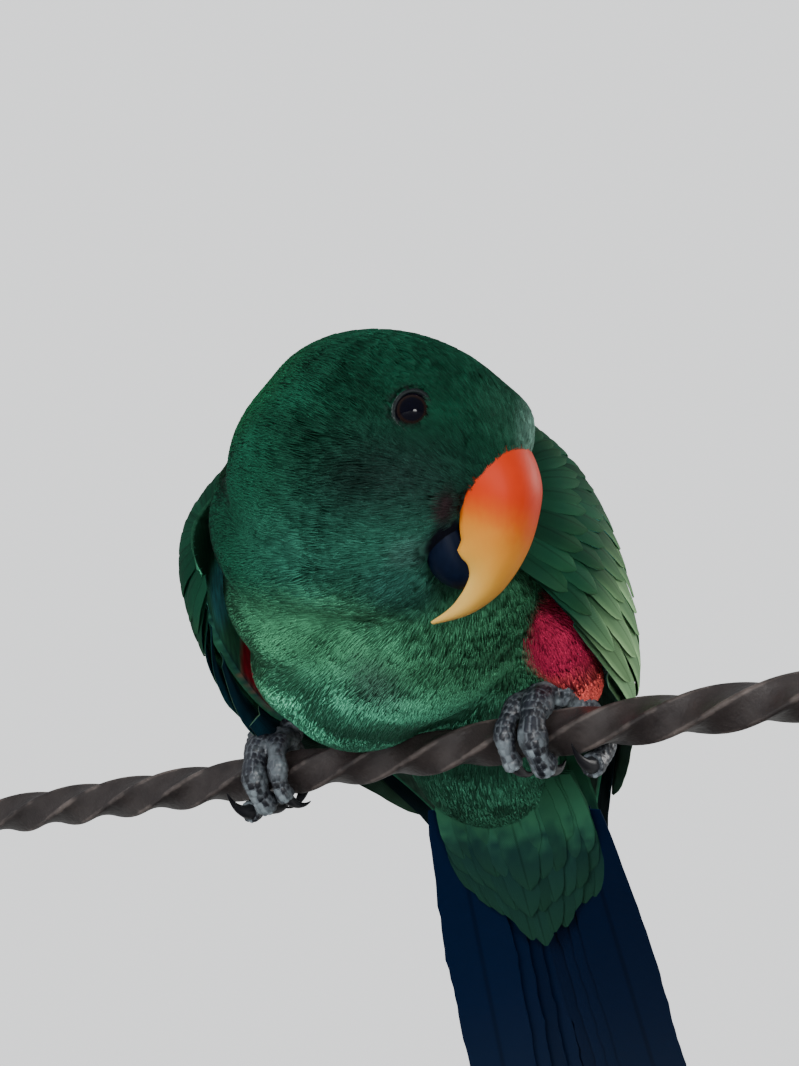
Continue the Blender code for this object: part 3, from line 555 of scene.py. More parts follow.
def value_of(tree, name):
    """A value that the piece's mesh stores under this name."""
    return add_node(tree, "ShaderNodeAttribute", attribute_name=name).outputs["Fac"]


def calculated(tree, operation, *values, **settings):
    """Arithmetic on values or sockets."""
    made = add_node(tree, "ShaderNodeMath", dict(enumerate(values)), operation=operation, **settings)
    return made.outputs[0]


def scaled(tree, colour, amount):
    """A colour or a vector times a value."""
    return add_node(tree, "ShaderNodeVectorMath", {0: colour, "Scale": amount}, operation="SCALE").outputs[0]


def speckled(tree, scale, detail=2.0):
    """Soft spots through a piece."""
    place = add_node(tree, "ShaderNodeTexCoord").outputs["Object"]
    made = add_node(tree, "ShaderNodeTexNoise", {"Vector": place, "Scale": scale, "Detail": detail})
    return made.outputs[0]


def tint_group():
    """Feather colour: darker at the root, paler at the tip, and each feather a little different."""
    tree, given, result = node_group(
        "feather_tint", "ShaderNodeTree",
        {"Colour": "Color", "Tip": "Color", "Tip Amount": "Float", "Root Shade": "Float", "Spread": "Float",
         "Strands": "Float"},
        {"Colour": "Color"},
    )
    along, chance, strand = (value_of(tree, name) for name in ("along", "chance", "strand"))
    root = ranged(tree, along, (0.25, 0.9), (given["Root Shade"], 1.0))
    off = calculated(tree, "SUBTRACT", chance, 0.5)
    vary = calculated(tree, "MULTIPLY_ADD", off, given["Spread"], 1.0)
    streak = calculated(tree, "MULTIPLY_ADD", strand, given["Strands"], 1.0)
    light = calculated(tree, "MULTIPLY", root, calculated(tree, "MULTIPLY", vary, streak))
    amount = calculated(tree, "MULTIPLY", ranged(tree, along, (0.62, 1.0)), given["Tip Amount"])
    tinted = blended(tree, amount, scaled(tree, given["Colour"], light), given["Tip"])
    tree.links.new(tinted, result["Colour"])
    return tree


FEATHER_TINT = tint_group()


def coat_finish(name, tip_gain, tip_amount, root_shade, strands, roughness):
    """Tufts in the plumage's colours. tip_gain says how much lighter their tips are."""
    finish, tree, shader = new_material(name, roughness=roughness, specular_ior_level=0.12)
    colour = colour_of(tree, "plumage")
    tip = add_node(tree, "ShaderNodeVectorMath", {0: colour, 1: tip_gain}, operation="MULTIPLY")
    tint = add_node(tree, "ShaderNodeGroup", {
        "Colour": colour, "Tip": tip.outputs[0], "Tip Amount": tip_amount, "Root Shade": root_shade,
        "Spread": FEATHER_SPREAD, "Strands": strands,
    }, node_tree=FEATHER_TINT)
    shade = ranged(tree, speckled(tree, 90.0), (0.3, 0.7), (0.78, 1.2))
    feed(shader, base_color=scaled(tree, tint.outputs["Colour"], shade))
    return finish


def tuft(name, kind, seed):
    """A fan of closed tapering blades, flat on the ground, with their height above it as a value."""
    draw = np.random.default_rng(seed)
    points, faces = [], []
    values = {"along": [], "across": [], "rise": [], "strand": []}
    for i in range(kind["barbs"]):
        share = 2 * (i + 0.5) / kind["barbs"] - 1
        turn = share * kind["fan"] + draw.normal(0, 0.04)
        reach = kind["length"] * (1 - kind["bend"] * share**2) * draw.uniform(0.86, 1.0)
        start = np.array((draw.uniform(0, 0.12) * kind["length"], share * kind["width"] / 2))
        way = np.array((math.cos(turn), math.sin(turn)))
        wide = np.array((-way[1], way[0])) * kind["blade"] / 2
        height, strand, first = draw.uniform(kind["low"], 1.0), draw.uniform(-0.5, 0.5), len(points)
        middle = start + way * reach * WIDEST
        for place, s, lift in (
            (start, 0.0, 0.0), (middle - wide, WIDEST, -0.02), (middle, WIDEST, kind["thick"]),
            (middle + wide, WIDEST, -0.02), (start + way * reach, 1.0, 0.02),
        ):
            points.append((*place, 0.0))
            values["along"].append(s)
            values["across"].append(place[1] / kind["width"] * 2)
            values["rise"].append(height * min(1.0, 0.1 + 2.2 * s) - 0.3 * max(0.0, 0.3 - s) + lift)
            values["strand"].append(strand)
        for a, b in ((1, 2), (2, 3), (3, 1)):
            faces.append((first, first + b, first + a))
            faces.append((first + a, first + b, first + 4))
    made = mesh_piece(name, points, faces)
    for key, column in values.items():
        store(made.data, key, column)
    return made


def tuft_collection(name, kind, seed):
    group = bpy.data.collections.new(name)
    for i in range(FORMS):
        made = tuft(f"{name}_{i}", kind, seed + i)
        bpy.context.scene.collection.objects.unlink(made)
        group.objects.link(made)
    return group


def coat_tree():
    """Grows tufts on a skin: points spread over it, tufts turned along its lie, then laid on its curves."""
    tree, give, result = node_group(
        "coat", "GeometryNodeTree",
        {"Skin": "Geometry", "Tufts": "Collection", "Where": "String", "Spacing": "Float",
         "Density": "Float", "Swing": "Float", "Seed": "Int", "Finish": "Material"},
        {"Coat": "Geometry"},
    )
    tree.is_modifier = True

    def stored(name, kind="FLOAT"):
        return add_node(tree, "GeometryNodeInputNamedAttribute", {"Name": name}, data_type=kind).outputs[0]

    def keep(geometry, name, value, kind, domain):
        return add_node(tree, "GeometryNodeStoreNamedAttribute", {
            "Geometry": geometry, "Name": name, "Value": value,
        }, data_type=kind, domain=domain).outputs[0]

    def draw(low, high, salt, kind="FLOAT"):
        seed = calculated(tree, "ADD", give["Seed"], float(salt))
        span = {"Min": low, "Max": high, "Seed": seed}
        made = add_node(tree, "FunctionNodeRandomValue", span, data_type=kind)
        return next(s for s in made.outputs if s.enabled)

    spread = add_node(tree, "GeometryNodeDistributePointsOnFaces", {
        "Mesh": give["Skin"], "Distance Min": give["Spacing"], "Density Max": give["Density"],
        "Density Factor": stored(give["Where"]), "Seed": give["Seed"],
    }, distribute_method="POISSON")
    patch = stored("OFBake", "FLOAT_VECTOR")
    kept = keep(spread.outputs["Points"], "patch", patch, "FLOAT_VECTOR", "POINT")
    aim = add_node(tree, "FunctionNodeAxesToRotation", {
        "Primary Axis": stored("out", "FLOAT_VECTOR"), "Secondary Axis": stored("lie", "FLOAT_VECTOR"),
    }, primary_axis="Z", secondary_axis="X")
    swing = calculated(tree, "MULTIPLY", draw(-1.0, 1.0, 11), give["Swing"])
    euler = add_node(tree, "ShaderNodeCombineXYZ", {"Z": swing})
    turn = add_node(tree, "FunctionNodeEulerToRotation", {"Euler": euler.outputs[0]})
    turned = add_node(tree, "FunctionNodeRotateRotation", {
        "Rotation": aim.outputs[0], "Rotate By": turn.outputs[0],
    }, rotation_space="LOCAL")
    forms = add_node(tree, "GeometryNodeCollectionInfo", {
        "Collection": give["Tufts"], "Separate Children": True, "Reset Children": True,
    })
    placed = add_node(tree, "GeometryNodeInstanceOnPoints", {
        "Points": kept, "Instance": forms.outputs[0], "Pick Instance": True,
        "Instance Index": draw(0, FORMS - 1, 13, "INT"), "Rotation": turned.outputs[0],
        "Scale": calculated(tree, "MULTIPLY", stored("size"), draw(0.82, 1.12, 12)),
    })
    lucky = keep(placed.outputs[0], "chance", draw(0.0, 1.0, 14), "FLOAT", "INSTANCE")
    real = add_node(tree, "GeometryNodeRealizeInstances", {"Geometry": lucky})
    here = add_node(tree, "GeometryNodeInputPosition").outputs[0]
    near = add_node(tree, "GeometryNodeProximity", {
        "Geometry": give["Skin"], "Sample Position": here,
    }, target_element="FACES")
    out = add_node(tree, "GeometryNodeSampleNearestSurface", {
        "Mesh": give["Skin"], "Value": stored("out", "FLOAT_VECTOR"), "Sample Position": here,
    }, data_type="FLOAT_VECTOR")
    deep = calculated(tree, "MULTIPLY", stored("depth"), MM)
    lift = scaled(tree, out.outputs["Value"], calculated(tree, "MULTIPLY", stored("rise"), deep))
    lain = add_node(tree, "ShaderNodeVectorMath", {0: near.outputs["Position"], 1: lift}, operation="ADD")
    laid = add_node(tree, "GeometryNodeSetPosition", {
        "Geometry": real.outputs[0], "Position": lain.outputs[0],
    })
    inside = add_node(tree, "ShaderNodeCombineXYZ", {"X": stored("along"), "Y": stored("across")})
    spot = add_node(tree, "ShaderNodeVectorMath", {
        0: inside.outputs[0], 1: PATCH_STEP, 2: stored("patch", "FLOAT_VECTOR"),
    }, operation="MULTIPLY_ADD")
    baked = keep(laid.outputs[0], "OFBake", spot.outputs[0], "FLOAT2", "CORNER")
    smooth = add_node(tree, "GeometryNodeSetShadeSmooth", {"Geometry": baked})
    dressed = add_node(tree, "GeometryNodeSetMaterial", {
        "Geometry": smooth.outputs[0], "Material": give["Finish"],
    })
    tree.links.new(dressed.outputs[0], result["Coat"])
    return tree


COAT_TREE = coat_tree()


def grow(name, where, tufts, spacing, density, swing, seed, finish):
    """One coat piece: the tree above on a copy of the skin, made a plain mesh."""
    store(SKIN.data, name, where)
    coat = bpy.data.objects.new(name, SKIN.data.copy())
    bpy.context.scene.collection.objects.link(coat)
    modifier = coat.modifiers.new("coat", "NODES")
    modifier.node_group = COAT_TREE
    values = {"Tufts": tufts, "Where": name, "Spacing": spacing * MM, "Density": density / MM**2,
              "Swing": swing, "Seed": seed, "Finish": finish}
    for item in COAT_TREE.interface.items_tree:
        if item.name in values and item.in_out == "INPUT":
            modifier[item.identifier] = values[item.name]
    applied(coat)
    for spare in ("size", "out", "lie", "depth", "patch", "rise", "grows"):
        if coat.data.attributes.get(spare):
            coat.data.attributes.remove(coat.data.attributes[spare])
    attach(coat, "root")
    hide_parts("head" if "face" in name or "nape" in name else "torso")
    return coat


def whole_coat():
    """Every part of the coat, each where its kind of feather grows."""
    mesh = SKIN.data
    points = points_of(mesh)
    head, body = head_places(points), body_places(points)
    grows, size = np.empty(len(points)), np.empty(len(points))
    mesh.attributes["grows"].data.foreach_get("value", grows)
    mesh.attributes["size"].data.foreach_get("value", size)
    from_bill = np.linalg.norm(head - np.array(BILL_BASE), axis=-1)
    on_head = grows * (1 - smooth_step(from_bill, *HEAD_REACH))
    on_body = grows - on_head
    close = np.minimum(1.0, (TUFT_SIZE[0][1] / size) ** 2)  # the smallest tufts stand closest
    fine = coat_finish("head_feathers", (2.6, 2.0, 1.9), 0.6, 0.66, 1.0, 0.55)
    soft = coat_finish("body_feathers", (1.5, 1.3, 1.35), 0.4, 0.86, 0.3, 0.8)
    hairs = tuft_collection("hair", HAIR, 20)
    plumes = tuft_collection("plume", PLUME, 60)
    face, above, front = from_bill < FACE_REACH, body[:, 2] > ABOVE, body[:, 0] > FORWARD
    flank = on_flank(points, body) > 0.5
    grow("coat_flank", grows * flank, plumes, 0.6, 2.5, 0.08, 30, soft)
    on_body = on_body * ~flank
    for side, name in ((1, "right"), (-1, "left")):
        here = on_head * (side * head[:, 1] > 0) * close
        grow(f"coat_face_{name}", here * face, hairs, 0.26, 5.0, 0.10, 2 + side, fine)
        grow(f"coat_nape_{name}", here * ~face, hairs, 0.30, 5.0, 0.10, 7 + side, fine)
        breast = on_body * ~above * front * (side * body[:, 1] < 0)
        grow(f"coat_breast_{name}", breast, plumes, 0.7, 2.5, 0.10, 12 + side, soft)
    grow("coat_belly", on_body * ~above * ~front, plumes, 1.0, 1.2, 0.10, 20, soft)
    grow("coat_back", on_body * above, plumes, 0.9, 1.6, 0.12, 21, soft)


whole_coat()

# Wings, folded: a bed of muscle and feather roots along the bird's side, with flight feathers and
# coverts in tiers over it. Each feather is a closed thin vane, bent along the curve of the wing.
WING_OUT = np.array((0, 0.86, 0.5))  # the way that it bows
WING_SPREAD = {1: (0, 0), -1: (5, 0)}  # the right wing is held a little further out, front to rear
# The wing's lower and upper edge in the body's frame, and how far it bows, from its shoulder to its tip.
WING_LOWER = ((52, 35, 33), (28, 44, 23), (-6, 46, 12), (-40, 35, 8), (-72, 22, -9), (-106, 12, -38))
WING_UPPER = ((50, 30, 60), (30, 23, 77), (-6, 12, 70), (-40, 7, 42), (-72, 4, 12), (-106, 7, -31))
WING_BOW = ((8,), (13,), (13,), (8,), (4,), (1,))
# half is half a feather's width, lifts its height along its length, tilt how far its lower edge stands out.
PRIMARIES = {"count": 9, "rows": 18, "half": 5.4, "lifts": (-4.0, -1.8, -1.3, -0.9), "tilt": 1.2}
TIERS = (  # from the flight feathers up to the smallest coverts, with roots and tips as shares of the wing
    {"name": "secondary", "count": 12, "from": 0.35, "to": (0.73, 0.61), "half": 4.7, "rows": 18,
     "lifts": (-3.0, -0.3, 0.6, 0.9), "tilt": 0.8},
    {"name": "greater", "count": 15, "from": 0.22, "to": (0.50, 0.48), "half": 3.7, "rows": 15,
     "lifts": (-1.8, 0.5, 1.4), "tilt": 0.5},
    {"name": "median", "count": 16, "from": 0.14, "to": (0.37, 0.36), "half": 3.3, "rows": 13,
     "lifts": (-1.6, 0.9, 1.8), "tilt": 0.45},
    {"name": "lesser", "count": 17, "from": 0.09, "to": (0.29, 0.28), "half": 3.0, "rows": 12,
     "lifts": (-1.4, 1.2, 2.1), "tilt": 0.4},
    {"name": "lesser", "count": 17, "from": 0.045, "to": (0.215, 0.21), "half": 2.9, "rows": 12,
     "lifts": (-1.6, 1.2, 2.2), "tilt": 0.4},
    {"name": "lesser", "count": 16, "from": 0.01, "to": (0.155, 0.15), "half": 2.9, "rows": 12,
     "lifts": (-2.4, 0.8, 2.1), "tilt": 0.4},
)
WING_COLOURS = {  # vane, its outer edge
    "primary": ((0.004, 0.009, 0.024), (0.006, 0.028, 0.060)),
    "secondary": ((0.010, 0.070, 0.034), (0.070, 0.150, 0.050)),
    "greater": ((0.010, 0.066, 0.034), (0.055, 0.135, 0.048)),
    "median": ((0.008, 0.054, 0.028), (0.030, 0.098, 0.042)),
    "lesser": ((0.007, 0.050, 0.027), (0.014, 0.074, 0.038)),
}
# Pale olive painted as light from behind shining through the feathers at the wing's lower rear edge.
BACKLIT_OLIVE = (0.43, 0.74, 0.35)
# UNDER_GREEN, UNDER_RED, BED_GREEN and TURQUOISE are the wing's own colours made far paler, as painted light
# against the shade between wing and body.
UNDER_GREEN, UNDER_GREY, UNDER_RED = (0.140, 0.600, 0.340), (0.060, 0.130, 0.095), (0.85, 0.050, 0.090)
BED_GREEN, UNDER_BLUE, TURQUOISE = (0.080, 0.380, 0.210), (0.020, 0.085, 0.140), (0.22, 0.92, 1.0)
PRIMARY_DARK = (0.005, 0.016, 0.030)
VANE_COLUMNS = 9
BED_REACH = 0.76  # how far back along the wing its bed goes
# How far under the wing's outside the bed lies, and how thick it is, along its length.
BED_SINK, BED_DEPTH = ((0.5,), (1.0,), (1.8,), (2.6,), (2.8,)), ((4.5,), (5.2,), (4.4,), (2.6,), (1.0,))


def curve(points, t):
    """A smooth curve through a few points, at each t from 0 to 1."""
    p = np.asarray(points, float)
    x = np.clip(np.asarray(t, float), 0, 1) * (len(p) - 1)
    k = np.minimum(x.astype(int), len(p) - 2)
    s = (x - k)[..., None]
    p0, p1, p2, p3 = p[np.maximum(k - 1, 0)], p[k], p[k + 1], p[np.minimum(k + 2, len(p) - 1)]
    return 0.5 * (2 * p1 + (p2 - p0) * s + (2 * p0 - 5 * p1 + 4 * p2 - p3) * s**2
                  + (3 * p1 - p0 - 3 * p2 + p3) * s**3)


def lerp(a, b, t):
    return a + (b - a) * t


def wing_surface(side, u, v):
    """The folded wing's outside, from its shoulder to its tip along u and up from its lower edge along v."""
    u, v = np.broadcast_arrays(np.asarray(u, float), np.asarray(v, float))
    low, high, bow = curve(WING_LOWER, u), curve(WING_UPPER, u), curve(WING_BOW, u)
    inside = np.clip(v, 0, 1)[..., None]
    place = low + (high - low) * v[..., None]
    place = place + WING_OUT * bow * np.sin(math.pi * inside**0.8) * (1.1 - 0.3 * inside)
    aside = side * (place[..., 1] + lerp(*WING_SPREAD[side], u))
    return STANCE + place[..., :1] * AHEAD + aside[..., None] * LEFT + place[..., 2:] * UP


def wing_frame(side, u, v):
    """Point, outward normal and the direction up the wing."""
    e = 0.01
    u = np.clip(u, e, 1 - e)
    run = wing_surface(side, u + e, v) - wing_surface(side, u - e, v)
    rise = wing_surface(side, u, v + e) - wing_surface(side, u, v - e)
    return wing_surface(side, u, v), unit(np.cross(run, rise)) * side, rise / (2 * e)


def lay_on_wing(side, root, tip, lifts, tilt):
    """How to lay a feather on the wing between two places (u, v)."""
    (u0, v0), (u1, v1) = root, tip

    def place(s, w, half):
        u, v = lerp(u0, u1, s), lerp(v0, v1, s)
        point, normal, rise = wing_frame(side, u, v)
        ahead = wing_frame(side, u - 0.02, lerp(v0, v1, s - 0.02 / (u1 - u0)))[0]
        across = unit(np.cross(point - ahead, normal))
        across *= np.sign(np.sum(across * rise, -1, keepdims=True))
        up = np.linalg.norm(rise, axis=-1)[:, None]
        bowed = wing_surface(side, u[:, None], np.clip(v[:, None] + w / up, 0, 1))
        sag = np.sum((bowed - point[:, None]) * normal[:, None], -1)
        height = sag + curve([(x,) for x in lifts], s)[:, :1] - tilt * w / half
        outward = normal[:, None]
        return point[:, None] + across[:, None] * w[..., None] + outward * height[..., None], outward

    return place


def vane_shape(rows, columns, half, tip, draw):
    """A feather's rows along it and offsets across it, rounded at the tip and a little ragged."""
    s = np.linspace(0, 1, rows) ** 0.78
    swell = np.where(s < 0.56, np.sin(math.pi * np.minimum(1.0, 0.22 + 0.5 * s)), 1.0)
    end = np.sqrt(np.maximum(0.0, 1 - (np.maximum(s - (1 - tip), 0) / tip) ** 2))
    width = half * swell * np.maximum(end, 0.12)
    share = np.linspace(-1, 1, columns)
    share = np.sign(share) * np.abs(share) ** 0.8
    w = width[:, None] * share[None, :]
    ragged = 1 + draw.normal(0, 0.022, (rows, 1)) * np.abs(share)[None, :] ** 3
    return s, w * ragged, share


class Feathers:
    """Gathers closed thin feathers, to make one mesh of them."""

    def __init__(self, name):
        self.name, self.points, self.faces, self.patches = name, [], [], []
        self.values = {"along": [], "across": [], "chance": [], "plumage": []}
        self.total = 0

    def add(self, top, bottom, s, share, top_colour, bottom_colour, chance):
        rows, columns = top.shape[:2]
        points = np.concatenate((top.reshape(-1, 3), bottom.reshape(-1, 3)))
        index = np.arange(rows * columns).reshape(rows, columns)
        a, b, c, d = index[:-1, :-1], index[:-1, 1:], index[1:, 1:], index[1:, :-1]
        upper = np.stack((a, b, c, d), -1).reshape(-1, 4)
        lower = upper[:, ::-1] + rows * columns
        rim = np.concatenate((index[0], index[1:, -1], index[-1, -2::-1], index[-2:0:-1, 0]))
        after = np.roll(rim, -1)
        walls = np.stack((after, rim, rim + rows * columns, after + rows * columns), -1)
        quads = np.concatenate((upper, lower, walls))
        p = points[quads]
        volume = np.sum(np.cross(p[:, 0], p[:, 1]) * p[:, 2] + np.cross(p[:, 0], p[:, 2]) * p[:, 3])
        if volume < 0:
            quads = quads[:, ::-1]
        self.faces += (quads + self.total).tolist()
        self.points.append(points)
        self.total += len(points)
        grid = np.ones((rows, columns))
        self.values["along"].append(np.tile((s[:, None] * grid).ravel(), 2))
        self.values["across"].append(np.tile((share[None, :] * grid).ravel(), 2))
        self.values["chance"].append(np.full(len(points), chance))
        both = (top_colour.reshape(-1, 3), bottom_colour.reshape(-1, 3))
        self.values["plumage"].append(np.concatenate(both))
        flat = np.stack((s[:, None] * grid, (0.5 + 0.5 * share[None, :]) * grid), -1).reshape(-1, 2)
        self.patches.append(np.concatenate((flat * (0.92, 0.44), flat * (0.92, 0.44) + (0, 0.5))))

    def piece(self, finish):
        made = mesh_piece(self.name, np.concatenate(self.points), self.faces)
        for key, parts in self.values.items():
            store(made.data, key, np.concatenate(parts), "FLOAT_COLOR" if key == "plumage" else "FLOAT")
        across = math.ceil(math.sqrt(len(self.patches)))
        cells = [np.array((i % across, i // across)) for i in range(len(self.patches))]
        spots = np.concatenate([(patch + 0.03 + cell) / across for patch, cell in zip(self.patches, cells)])
        corners = np.empty(len(made.data.loops), int)
        made.data.loops.foreach_get("vertex_index", corners)
        made.data.uv_layers.new(name="OFBake").data.foreach_set("uv", spots[corners].ravel())
        made.data.materials.append(finish)
        made.data.shade_smooth()
        made.data.set_sharp_from_angle(angle=math.radians(60))
        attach(made, "root")
        return made


def over_edge(body):
    """How high points in the body's frame lie over the folded wing's lower edge."""
    line = np.array(WING_LOWER)[::-1]
    return body[:, 2] - np.interp(body[:, 0], line[:, 0], line[:, 2])


def under_colour(points):
    """The wing from below: green, with a turquoise patch near the bend and blue along its lower edge, the
    green and turquoise made far paler as painted light.
    """
    body = body_places(points)
    body[:, 1] = np.abs(body[:, 1])
    flecks = wander(points, 1.8)
    colours = even(UNDER_GREEN, flecks.shape)
    colours = mixed(colours, UNDER_BLUE, 1 - smooth_step(over_edge(body) + 1.5 * flecks, 1.5, 6.0))
    colours = mixed(colours, UNDER_GREY, smooth_step(-body[:, 0], 0, 25))
    colours = mixed(colours, TURQUOISE, blob(body, (28, 47, 38), (7, 20, 8), 0.5))
    return colours * (1 + 0.5 * flecks[:, None])


def feather_under(points):
    """A covert's lower side: the wing's underside colours darkened as painted shade, to 0.6 and towards the
    front to 0.1, so that its thin edge doesn't shine.
    """
    ahead = body_places(points)[:, 0]
    return under_colour(points) * (0.6 - 0.5 * smooth_step(ahead, 34, 42))[:, None]


def primary_under(points):
    """A long flight feather's lower side: nearly black with a little blue."""
    return mixed(under_colour(points), PRIMARY_DARK, np.full(len(points), 0.85))


def under_red(points):
    """1 where the red of the flank goes on over the wing's lining."""
    body = body_places(points)
    ragged = wander(points, 1.8)
    across = smooth_step(-body[:, 0] + ragged, -14, -11) * smooth_step(body[:, 0], -8, 0)
    return across * smooth_step(over_edge(body) + ragged, 2.5, 4.5)


def lay_feather(feathers, place, shape, colours, under, thick=0.42, camber=0.35, chance=0.5):
    """One vane with a ridge for its shaft. colours gives the top's colour, under the lower side's."""
    s, w, share = shape
    half = max(np.abs(w).max(), 1e-6)
    middle, normal = place(s, w, half)
    shaft = np.exp(-((w / 0.55) ** 2)) * (1 - 0.75 * s[:, None])
    arch = camber * (1 - share[None, :] ** 2) * np.sin(math.pi * np.clip(s, 0.05, 0.95))[:, None] ** 0.5
    edge = 0.35 + 0.65 * (1 - np.abs(share[None, :]) ** 3)
    top = middle + normal * (arch + thick * (0.5 * edge + 0.45 * shaft))[..., None]
    bottom = middle + normal * (arch - thick * 0.5 * edge)[..., None]
    grid_s, grid_share = np.broadcast_arrays(s[:, None], share[None, :])
    top_colour = colours(grid_s, grid_share)
    bottom_colour = under(bottom.reshape(-1, 3)).reshape(bottom.shape)
    feathers.add(top, bottom, s, share, top_colour, bottom_colour, chance)


def wing_feather_colours(kind, v, reach, draw):
    """Vane colour with its paler edges, turning to pale olive towards the wing's lower rear edge as painted
    light, the glow of light shining through from behind.
    """
    vane, edge = (np.array(c) for c in WING_COLOURS[kind])
    shift, hue = draw.uniform(0.8, 1.2), draw.uniform(0.5, 1.0)

    def colours(s, share):
        colour = even(vane * shift, s.shape)
        rim = smooth_step(np.abs(share), 0.62, 1.0) * smooth_step(s, 0.3, 0.7)
        colour = mixed(colour, edge, 0.75 * rim)
        if kind == "primary":
            return colour
        # Painted light: the olive glow where light from behind shines through the lower rear feathers.
        low = (1 - smooth_step(np.full(s.shape, v), 0.16, 0.5)) * smooth_step(lerp(*reach, s), 0.17, 0.36)
        return mixed(colour, BACKLIT_OLIVE, low * (0.45 + 0.55 * rim) * hue)

    return colours


def wing_bed(side, feathers):
    """The body of the wing under its feathers: green on its outside, pale along its lower edge as painted
    light and darkened above that as painted shade, and lined like the wing's underside below.
    """
    u = np.linspace(0.005, BED_REACH, 90)
    v = np.linspace(0.02, 0.98, 40)
    point, normal, _ = wing_frame(side, u[:, None], v[None, :])
    sink = curve(BED_SINK, u / BED_REACH)[:, None]
    rim = (np.sin(math.pi * np.clip(v, 0.02, 0.98)) ** 0.5)[None, :, None]
    front = np.minimum(1.0, 0.3 + 5 * u)[:, None, None]
    deep = curve(BED_DEPTH, u / BED_REACH)[:, None] * rim * front
    # Painted shade: the bed darkened to a fifth from just above its lower edge upwards, under the feathers;
    # its lowest strip keeps the pale BED_GREEN as painted light.
    painted_shade = 1 - 0.8 * smooth_step(v, 0.04, 0.14)[:, None]
    bed = even(np.array(BED_GREEN) * painted_shade, point.shape[:2])
    under = point - normal * (sink + deep + 0.6)
    lining = under_colour(under.reshape(-1, 3)).reshape(under.shape)
    # Painted light: UNDER_RED is far paler than the flank's own red.
    lining = mixed(lining, UNDER_RED, under_red(under.reshape(-1, 3)).reshape(under.shape[:2]))
    from_front = u[:, None] - 0.09 * smooth_step(v, 0.06, 0.14)
    inner = smooth_step(from_front, 0.03, 0.08) * (1 - smooth_step(v, 0.80, 0.90))
    lining = bed + (lining - bed) * inner[..., None]
    feathers.add(point - normal * (sink + 2.0 * (1 - front)), under, u, 2 * v - 1, bed, lining, 0.5)


def wing(side, name, finish):
    feathers = Feathers(name)
    draw = np.random.default_rng(31 if side > 0 else 32)
    wing_bed(side, feathers)
    for i in range(PRIMARIES["count"]):
        share = i / (PRIMARIES["count"] - 1)
        root, tip = (0.42, lerp(0.10, 0.50, share)), (lerp(1.0, 0.82, share), lerp(0.15, 0.80, share))
        place = lay_on_wing(side, root, tip, PRIMARIES["lifts"], PRIMARIES["tilt"])
        shape = vane_shape(PRIMARIES["rows"], VANE_COLUMNS, PRIMARIES["half"], 0.22, draw)
        colours = wing_feather_colours("primary", share, (0.4, 1.0), draw)
        lay_feather(feathers, place, shape, colours, primary_under, chance=draw.random())
    for tier in TIERS:
        for i in range(tier["count"]):
            share = i / (tier["count"] - 1)
            v = lerp(0.0, 0.92, share) + draw.normal(0, 0.006)
            end = lerp(*tier["to"], share) + draw.normal(0, 0.004)
            place = lay_on_wing(side, (tier["from"], v), (end, v), tier["lifts"], tier["tilt"])
            half = tier["half"] * draw.uniform(0.95, 1.05)
            shape = vane_shape(tier["rows"], VANE_COLUMNS, half, 0.42, draw)
            colours = wing_feather_colours(tier["name"], v, (tier["from"], end), draw)
            lay_feather(feathers, place, shape, colours, feather_under, chance=draw.random())
    made = feathers.piece(finish)
    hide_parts(name)
    return made


def vane_finish(name, roughness, tip, tip_amount, barb_scale):
    """A flat feather: its own colours, fine slanting barbs in the relief, and a dark line at the shaft."""
    finish, tree, shader = new_material(name, roughness=roughness, specular_ior_level=0.06)
    tint = add_node(tree, "ShaderNodeGroup", {
        "Colour": colour_of(tree, "plumage"), "Tip": (*tip, 1), "Tip Amount": tip_amount, "Root Shade": 0.7,
        "Spread": FEATHER_SPREAD,
    }, node_tree=FEATHER_TINT)
    aside = calculated(tree, "ABSOLUTE", value_of(tree, "across"))
    slant = calculated(tree, "MULTIPLY_ADD", aside, -0.16, value_of(tree, "along"))
    lines = add_node(tree, "ShaderNodeCombineXYZ", {"X": slant})
    barbs = add_node(tree, "ShaderNodeTexWave", {
        "Vector": lines.outputs[0], "Scale": barb_scale, "Distortion": 0.6, "Detail": 1.0,
    }, bands_direction="X").outputs[1]
    shaft = ranged(tree, aside, (0.03, 0.10), (0.7, 1.0))
    streak = ranged(tree, barbs, (0.0, 1.0), (0.90, 1.06))
    light = calculated(tree, "MULTIPLY", shaft, streak)
    bump = add_node(tree, "ShaderNodeBump", {"Height": barbs, "Strength": 0.12, "Distance": 0.0002})
    feed(shader, base_color=scaled(tree, tint.outputs["Colour"], light), normal=bump.outputs["Normal"])
    return finish


WING_FINISH = vane_finish("wing_feathers", 0.7, (0.050, 0.150, 0.035), 0.15, 14.0)
for side, name in ((1, "wing_left"), (-1, "wing_right")):
    wing(side, name, WING_FINISH)

# Tail: six pairs of long stiff feathers, the middle pair on top, with soft green coverts that close
# the tail's root above and below. It hangs down behind the bar.
TAIL_ROOT, TAIL_TIP = (-43.7, 5.0, 0.0), (-147.7, -5.0, -79.0)  # in the body's frame
TAIL_FEATHERS, TAIL_WIDTH, TAIL_ARCH, TAIL_STEP = 6, 20.0, 0.003, 1.15
